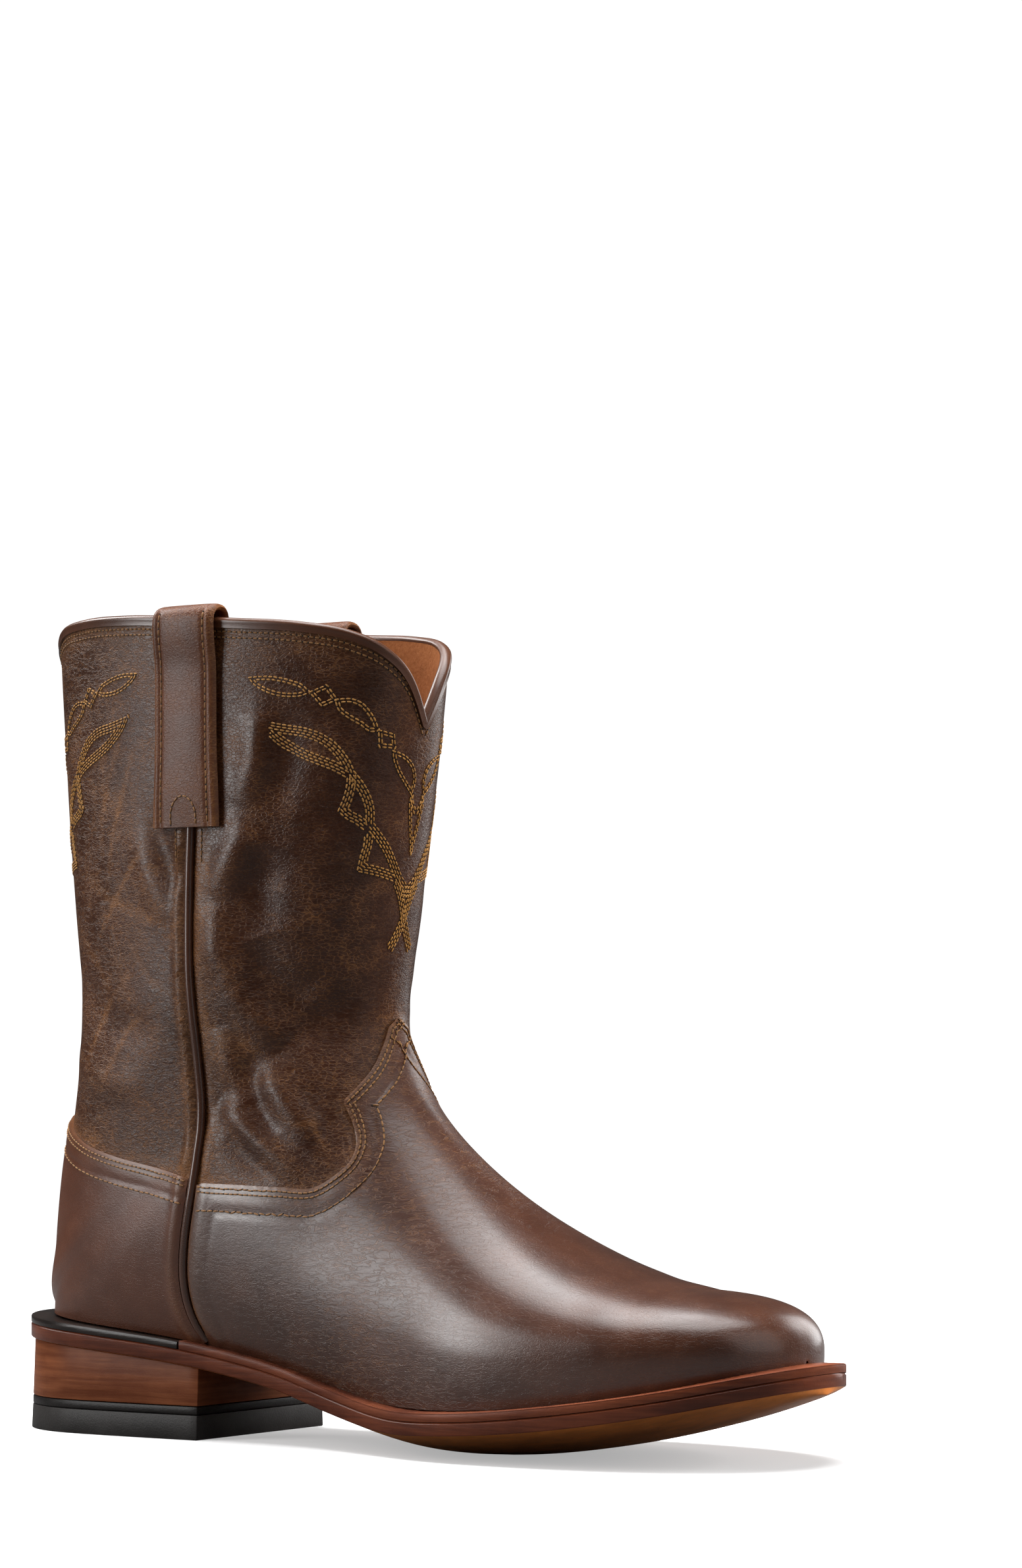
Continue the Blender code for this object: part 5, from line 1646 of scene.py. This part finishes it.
@dataclass
class Needlework:
    """Where the stitch rows run: panel edges, straps, collar and the ornament of the shaft."""

    last: Last
    sewing: Stitching
    shaft: Ground
    overlays: Ground
    half_girth: float = 182.0
    two_rows: tuple[float, ...] = (0.0, 0.95)
    four_rows: tuple[float, ...] = (0.0, 0.9, 1.8, 2.7)
    # motifs as smooth runs with corners between them; rows lie on the right hand of the way along
    chain: tuple[tuple[Rows, ...], ...] = (
        (((0.649, 250.0), (0.687, 250.1), (0.734, 248.4), (0.753, 247.1), (0.768, 244.6)),
         ((0.768, 244.6), (0.753, 243.6), (0.734, 243.4), (0.707, 243.9), (0.680, 245.6), (0.660, 247.8),
          (0.649, 250.0))),
        (((0.768, 244.6), (0.799, 246.8)), ((0.799, 246.8), (0.819, 242.1)), ((0.819, 242.1), (0.792, 240.0)),
         ((0.792, 240.0), (0.768, 244.6))),
        (((0.815, 242.1), (0.846, 242.2), (0.865, 240.7), (0.876, 238.7), (0.888, 235.7), (0.896, 232.4)),
         ((0.896, 232.4), (0.884, 231.9), (0.861, 234.2), (0.842, 236.1), (0.822, 239.0), (0.815, 242.1))),
        (((0.896, 232.4), (0.927, 231.1)), ((0.927, 231.1), (0.931, 226.7)), ((0.931, 226.7), (0.900, 227.0)),
         ((0.900, 227.0), (0.896, 232.4))),
        (((0.927, 225.8), (0.946, 225.0), (0.965, 223.4), (0.981, 220.6), (0.988, 217.0), (0.981, 212.0)),
         ((0.981, 212.0), (0.961, 215.4), (0.942, 219.3), (0.931, 222.9), (0.927, 225.8))),
        (((1.0, 192.5), (0.990, 199.5), (0.983, 205.0), (0.979, 209.0), (0.981, 212.0)),),
        (((0.981, 212.0), (1.0, 206.5)),),
    )
    bands: tuple[tuple[Rows, ...], ...] = (
        (((0.842, 217.2), (0.822, 219.1), (0.795, 221.0), (0.764, 223.0), (0.737, 225.2), (0.715, 227.7),
          (0.690, 231.5), (0.672, 236.0)),
         ((0.672, 236.0), (0.730, 233.9), (0.764, 232.9), (0.792, 231.2), (0.815, 228.8), (0.834, 225.5),
          (0.849, 221.9), (0.857, 219.1))),
        (((0.857, 219.0), (0.869, 216.7), (0.884, 213.2), (0.893, 210.4), (0.900, 207.0), (0.903, 202.3)),),
        (((0.884, 200.3), (0.869, 202.1), (0.849, 203.9), (0.834, 206.2)),
         ((0.834, 206.2), (0.842, 210.3), (0.846, 214.4), (0.846, 217.7))),
        (((0.903, 202.3), (0.923, 198.6), (0.938, 195.7), (0.954, 191.9), (0.966, 188.8), (0.981, 185.2)),),
        (((0.958, 183.9), (0.923, 185.4), (0.880, 186.8)),
         ((0.880, 186.8), (0.884, 192.0), (0.888, 195.4), (0.888, 198.7))),
        (((1.022, 161.0), (1.0, 168.6), (0.988, 174.2), (0.977, 178.7), (0.961, 183.0)),),
        (((0.981, 185.2), (1.0, 182.4), (1.020, 179.6)),),
    )
    back_from: tuple[float, ...] = (0.0, 0.10, 0.15, 0.185, 0.232, 0.351)
    back_to: tuple[float, ...] = (0.0, 0.15, 0.21, 0.243, 0.284, 0.394)
    back_rise: float = 3.6
    strap_middle: float = 87.5
    strap_rows: tuple[float, float] = (78.4, 96.6)
    strap_heights: tuple[float, float] = (203.2, 272.0)
    tab_rows: tuple[float, float] = (82.6, 93.0)
    tab_heights: tuple[float, float] = (190.0, 201.0)
    collar_drops: tuple[float, float] = (3.3, 5.2)
    edge_rows: tuple[tuple[float, float], ...] = ((1.5, 1.9), (3.0, 1.9), (9.0, 2.4))

    def lay(self, ground: Ground, points: Array, group: str, pitch: float, phase: float = 0.5) -> None:
        """Sew along points dropped onto a surface."""
        found = [ground.near(p) for p in points]
        path = np.array([spot for spot, _ in found])
        normals = settle(np.array([normal for _, normal in found]), 3, turn=True)
        self.sewing.sew(group, path, normals, pitch, phase)

    def rows_beside(self, runs: tuple[Rows, ...], offsets: tuple[float, ...], back: bool) -> list[Array]:
        """Parallel rows of a motif laid flat.

        Args:
            runs: smooth runs of the motif's outer row, as shares and heights.
            offsets: distance of each row from the outer one.
            back: whether the motif goes to the back of the shaft instead of the front.

        Returns:
            Rows as lengths round the shaft and heights.
        """
        line = []
        for run in runs:
            points = np.array(run, float)
            if back:
                points = np.stack([np.interp(np.abs(1 - points[:, 0]), self.back_from, self.back_to)
                                   * np.sign(1 - points[:, 0]), points[:, 1] + self.back_rise], -1)
            line.append(smooth_line(points * np.array([self.half_girth, 1.0]), 80))
        whole = np.concatenate(line)
        whole = whole[np.concatenate([[True], np.linalg.norm(np.diff(whole, axis=0), axis=1) > 1e-6])]
        along = unit(np.gradient(whole, axis=0))
        right = np.stack([along[:, 1], -along[:, 0]], -1) * (-1.0 if back else 1.0)
        rows = []
        for offset in offsets:
            moved = whole + right * offset
            gaps = np.array([np.hypot(*(whole - spot).T).min() for spot in moved])
            moved = moved[gaps > offset * 0.96 - 1e-6]
            if len(moved) > 4:
                rows.append(moved)
        return rows

    def shaft_line(self, flat: Array, side: Side) -> Array:
        """Row on the shaft from lengths round it and heights, in metres."""
        share = flat[:, 0] / self.half_girth
        near = self.last.around(side, np.clip(share, 0.0, 2.0), flat[:, 1])
        behind = self.last.around(side.other, np.clip(-share, 0.0, 1.0), flat[:, 1])
        return self.last.metres(np.where((share < 0)[:, None], behind, near))

    def beside(self, path: Array, ground: Ground, offset: float) -> Array:
        """Line at an offset in mm beside a line on a surface, without its loops at corners."""
        normals = np.array([ground.near(p)[1] for p in path])
        along = unit(np.gradient(path, axis=0))
        moved = path + unit(np.cross(normals, along)) * offset * MM
        gaps = np.array([np.linalg.norm(path - p, axis=1).min() for p in moved])
        return moved[gaps > abs(offset) * MM * 0.93]

    def ornament(self, side: Side) -> None:
        """Leaves, diamonds and curved bands of the shaft, front and back."""
        for motifs, offsets in ((self.chain, self.two_rows), (self.bands, self.four_rows)):
            for runs in motifs:
                for back in (False, True):
                    for k, row in enumerate(self.rows_beside(runs, offsets, back)):
                        self.lay(self.shaft, self.shaft_line(row, side), "ornament", 1.85, 0.25 + 0.5 * (k % 2))

    def edges(self, side: Side) -> None:
        """Rows along the vamp and counter edges."""
        last, base = self.last, self.last.bare
        sign = 1.0 if side is Side.LATERAL else -1.0
        vamp = respace(last.metres(last.vamp_edge(side)), 260)
        counter = smooth_line(np.array([(float(last.seam_x(86.5)) - 2.2, 86.8), *last.counter_edge]), 80)
        counter = respace(np.array([base.side(last, x, z, side)[0] for x, z in counter if x > 19.0]), 120)
        for path, turn in ((vamp, -sign), (counter, sign)):
            for offset, pitch in self.edge_rows:
                row = self.beside(path, base, turn * offset)
                out = np.array([base.near(spot)[1] for spot in row])
                self.lay(self.overlays, row + out * 2.6 * MM, "seams", pitch)

    def strap(self, side: Side, strap: Ground) -> None:
        """Rows along the strap, the tab at its foot and the pair of rows below it."""
        last = self.last
        for x in self.strap_rows:
            flare = 0.6 * (x - self.strap_middle) / 9.0
            line = np.array([strap.side(last, x + flare * max(0, (232 - z) / 30), z, side)[0]
                             for z in np.linspace(*self.strap_heights, 60)])
            self.lay(strap, line, "strap_rows", 2.4)
        arch = [(87.6 + 5.2 * math.cos(a), 205.0 + 7.0 * math.sin(a)) for a in np.linspace(0, math.pi, 24)]
        arch = [(92.8, 202.6), *arch, (82.4, 202.6)]
        self.lay(strap, np.array([strap.side(last, x, z, side)[0] for x, z in arch]), "strap_rows", 2.0)
        for x in self.tab_rows:
            line = np.array([self.shaft.side(last, x, z, side)[0] for z in np.linspace(*self.tab_heights, 12)])
            self.lay(self.shaft, line, "strap_rows", 2.0)

    def collar(self, side: Side) -> None:
        """Two rows below the bound collar edge."""
        shares = np.linspace(0.0, 0.995, 160)
        for drop in self.collar_drops:
            line = self.last.metres(self.last.shaft(side, shares, 2, drop)[-1])
            self.lay(self.shaft, line, "collar_rows", 2.0)

    def build(self, straps: dict[str, bpy.types.Object]) -> None:
        """Sew every row and join the stitches by thread."""
        for side in Side:
            self.ornament(side)
            self.edges(side)
            self.strap(side, Ground.of(straps[side.name]))
            self.collar(side)
        self.sewing.build("ornament", GOLD, "shaft_leather", 0.95)
        self.sewing.build("seams", BROWN, "vamp_leather")
        self.sewing.build("strap_rows", BROWN, "strap_leather")
        self.sewing.build("collar_rows", BROWN, "shaft_leather", 0.9)


@dataclass(frozen=True)
class Lamp:
    """Soft rectangular light, mirrored in glossy leather or only lighting its colour."""

    name: str
    place: Colour
    aim: Colour
    size: tuple[float, float]
    power: float
    mirrored: bool = True

    def hang(self) -> None:
        """Put the light in its place."""
        Bench.clear()
        bpy.ops.object.light_add(type="AREA", location=self.place)
        lamp = bpy.context.object
        lamp.name = self.name
        lamp.data.shape = "RECTANGLE"
        lamp.data.size, lamp.data.size_y = self.size
        lamp.data.energy = self.power
        lamp.visible_glossy = self.mirrored
        lamp.rotation_euler = (Vector(self.aim) - Vector(self.place)).to_track_quat("-Z", "Y").to_euler()


@dataclass
class Studio:
    """Pale floor, soft lights and the camera of the photograph's view."""

    eye: tuple[float, float, float] = (0.8288, -1.1312, 0.1295)
    heading: float = 35.0
    lens: float = 98.3
    sensor: float = 36.0
    rise: float = 0.168
    far: float = 60.0
    floor_size: float = 14.0
    floor_tone: float = 0.85
    floor_glow: float = 1.08
    floor_share: float = 0.35
    floor_bounce: float = 0.1
    floor_fade: tuple[float, float] = (0.2, 1.1)
    sky_colour: Colour = (0.96, 0.98, 1.0)
    sky_strength: float = 0.05
    backdrop: float = 1.1
    lamps: tuple[Lamp, ...] = (
        Lamp("top", (0.12, 0.0, 1.5), (0.03, 0.0, 0.06), (1.0, 1.0), 13.0),
        Lamp("top_wash", (0.0, 0.1, 1.6), (0.03, 0.0, 0.06), (1.0, 1.0), 30.0, False),
        Lamp("high", (-0.53, 0.29, 1.4), (0.05, 0.0, 0.06), (0.8, 0.8), 6.0),
        Lamp("slope", (-1.1, -0.05, 1.1), (0.05, 0.0, 0.05), (0.6, 0.6), 9.0),
        Lamp("high_wash", (-0.55, 0.3, 1.5), (0.05, 0.0, 0.06), (0.8, 0.8), 28.0, False),
        Lamp("side", (-1.13, -1.34, 0.64), (0.0, 0.0, 0.1), (0.75, 1.0), 19.0),
        Lamp("side_wash", (-0.8, -0.95, 1.3), (0.0, 0.0, 0.08), (0.8, 0.8), 5.0, False),
        Lamp("rim_wash", (1.3, 1.2, 0.5), (0.0, 0.0, 0.14), (0.7, 1.0), 34.0, False),
        Lamp("right", (1.6, 0.0, 0.9), (0.0, 0.0, 0.1), (1.6, 1.6), 6.0),
        Lamp("behind", (0.3, 1.6, 0.6), (0.0, 0.0, 0.14), (0.8, 1.0), 7.0),
    )

    def paper(self) -> bpy.types.Material:
        """White paper that stays white to the horizon and takes a soft shadow near the boot."""
        g = Graph("paper")
        for name, value in (("Base Color", (self.floor_tone,) * 3 + (1.0,)), ("Roughness", 1.0),
                            ("Specular IOR Level", 0.0)):
            g.shader.inputs[name].default_value = value
        seen = g.node("ShaderNodeLightPath", out="Is Camera Ray")
        away = g.node("ShaderNodeVectorMath", {"operation": "LENGTH"}, {0: g.coords}, "Value").step(*self.floor_fade)
        glow = g.node("ShaderNodeEmission", {}, {"Strength": self.floor_glow})
        dim = g.node("ShaderNodeBsdfDiffuse", {}, {"Color": (self.floor_bounce,) * 3})
        near = g.node("ShaderNodeMixShader", {}, {0: self.floor_share + (1.0 - self.floor_share) * away,
                                                  1: Value(g, g.shader.outputs[0]), 2: glow})
        pick = g.node("ShaderNodeMixShader", {}, {0: seen, 1: dim, 2: near})
        g.tree.links.new(pick.socket, g.tree.nodes["Material Output"].inputs["Surface"])
        return g.material

    def sky(self) -> None:
        """Dim sky for the light, and white paper where the camera sees past the floor."""
        world = bpy.data.worlds.new("studio")
        world.use_nodes = True
        bpy.context.scene.world = world
        nodes, links = world.node_tree.nodes, world.node_tree.links
        white, path, pick = (nodes.new(f"ShaderNode{kind}") for kind in ("Background", "LightPath", "MixShader"))
        for shade, colour, strength in ((nodes["Background"], self.sky_colour, self.sky_strength),
                                        (white, (1.0, 1.0, 1.0), self.backdrop)):
            shade.inputs["Color"].default_value = (*colour, 1.0)
            shade.inputs["Strength"].default_value = strength
        for k, socket in enumerate((path.outputs["Is Camera Ray"], nodes["Background"].outputs[0], white.outputs[0])):
            links.new(socket, pick.inputs[k])
        links.new(pick.outputs[0], nodes["World Output"].inputs["Surface"])

    def build(self) -> None:
        """Make the camera, floor, lights and sky."""
        Bench.clear()
        bpy.ops.object.camera_add(location=self.eye, rotation=(math.pi / 2, 0.0, math.radians(self.heading)))
        camera = bpy.context.object
        camera.data.lens, camera.data.sensor_width, camera.data.shift_y = self.lens, self.sensor, self.rise
        camera.data.clip_end = self.far
        bpy.context.scene.camera = camera
        Bench.clear()
        bpy.ops.mesh.primitive_plane_add(size=self.floor_size)
        floor = bpy.context.object
        floor.name = "floor"
        floor.data.materials.append(self.paper())
        for lamp in self.lamps:
            lamp.hang()
        self.sky()
        bpy.context.scene.view_settings.view_transform = "Standard"


def main() -> None:
    """Build the boot and its studio."""
    logging.basicConfig(level=logging.INFO, format="%(name)s: %(message)s")
    Studio().build()
    last = Last()
    upper = Upper(last).build()
    shaft, overlays = Ground.of(upper["shaft"]), Ground.of(upper["vamp"], upper["counter"])
    straps = Trim(last).build()
    Bottom(last).build()
    Needlework(last, Stitching(), shaft, overlays).build(straps)


if __name__ == "__main__":
    main()
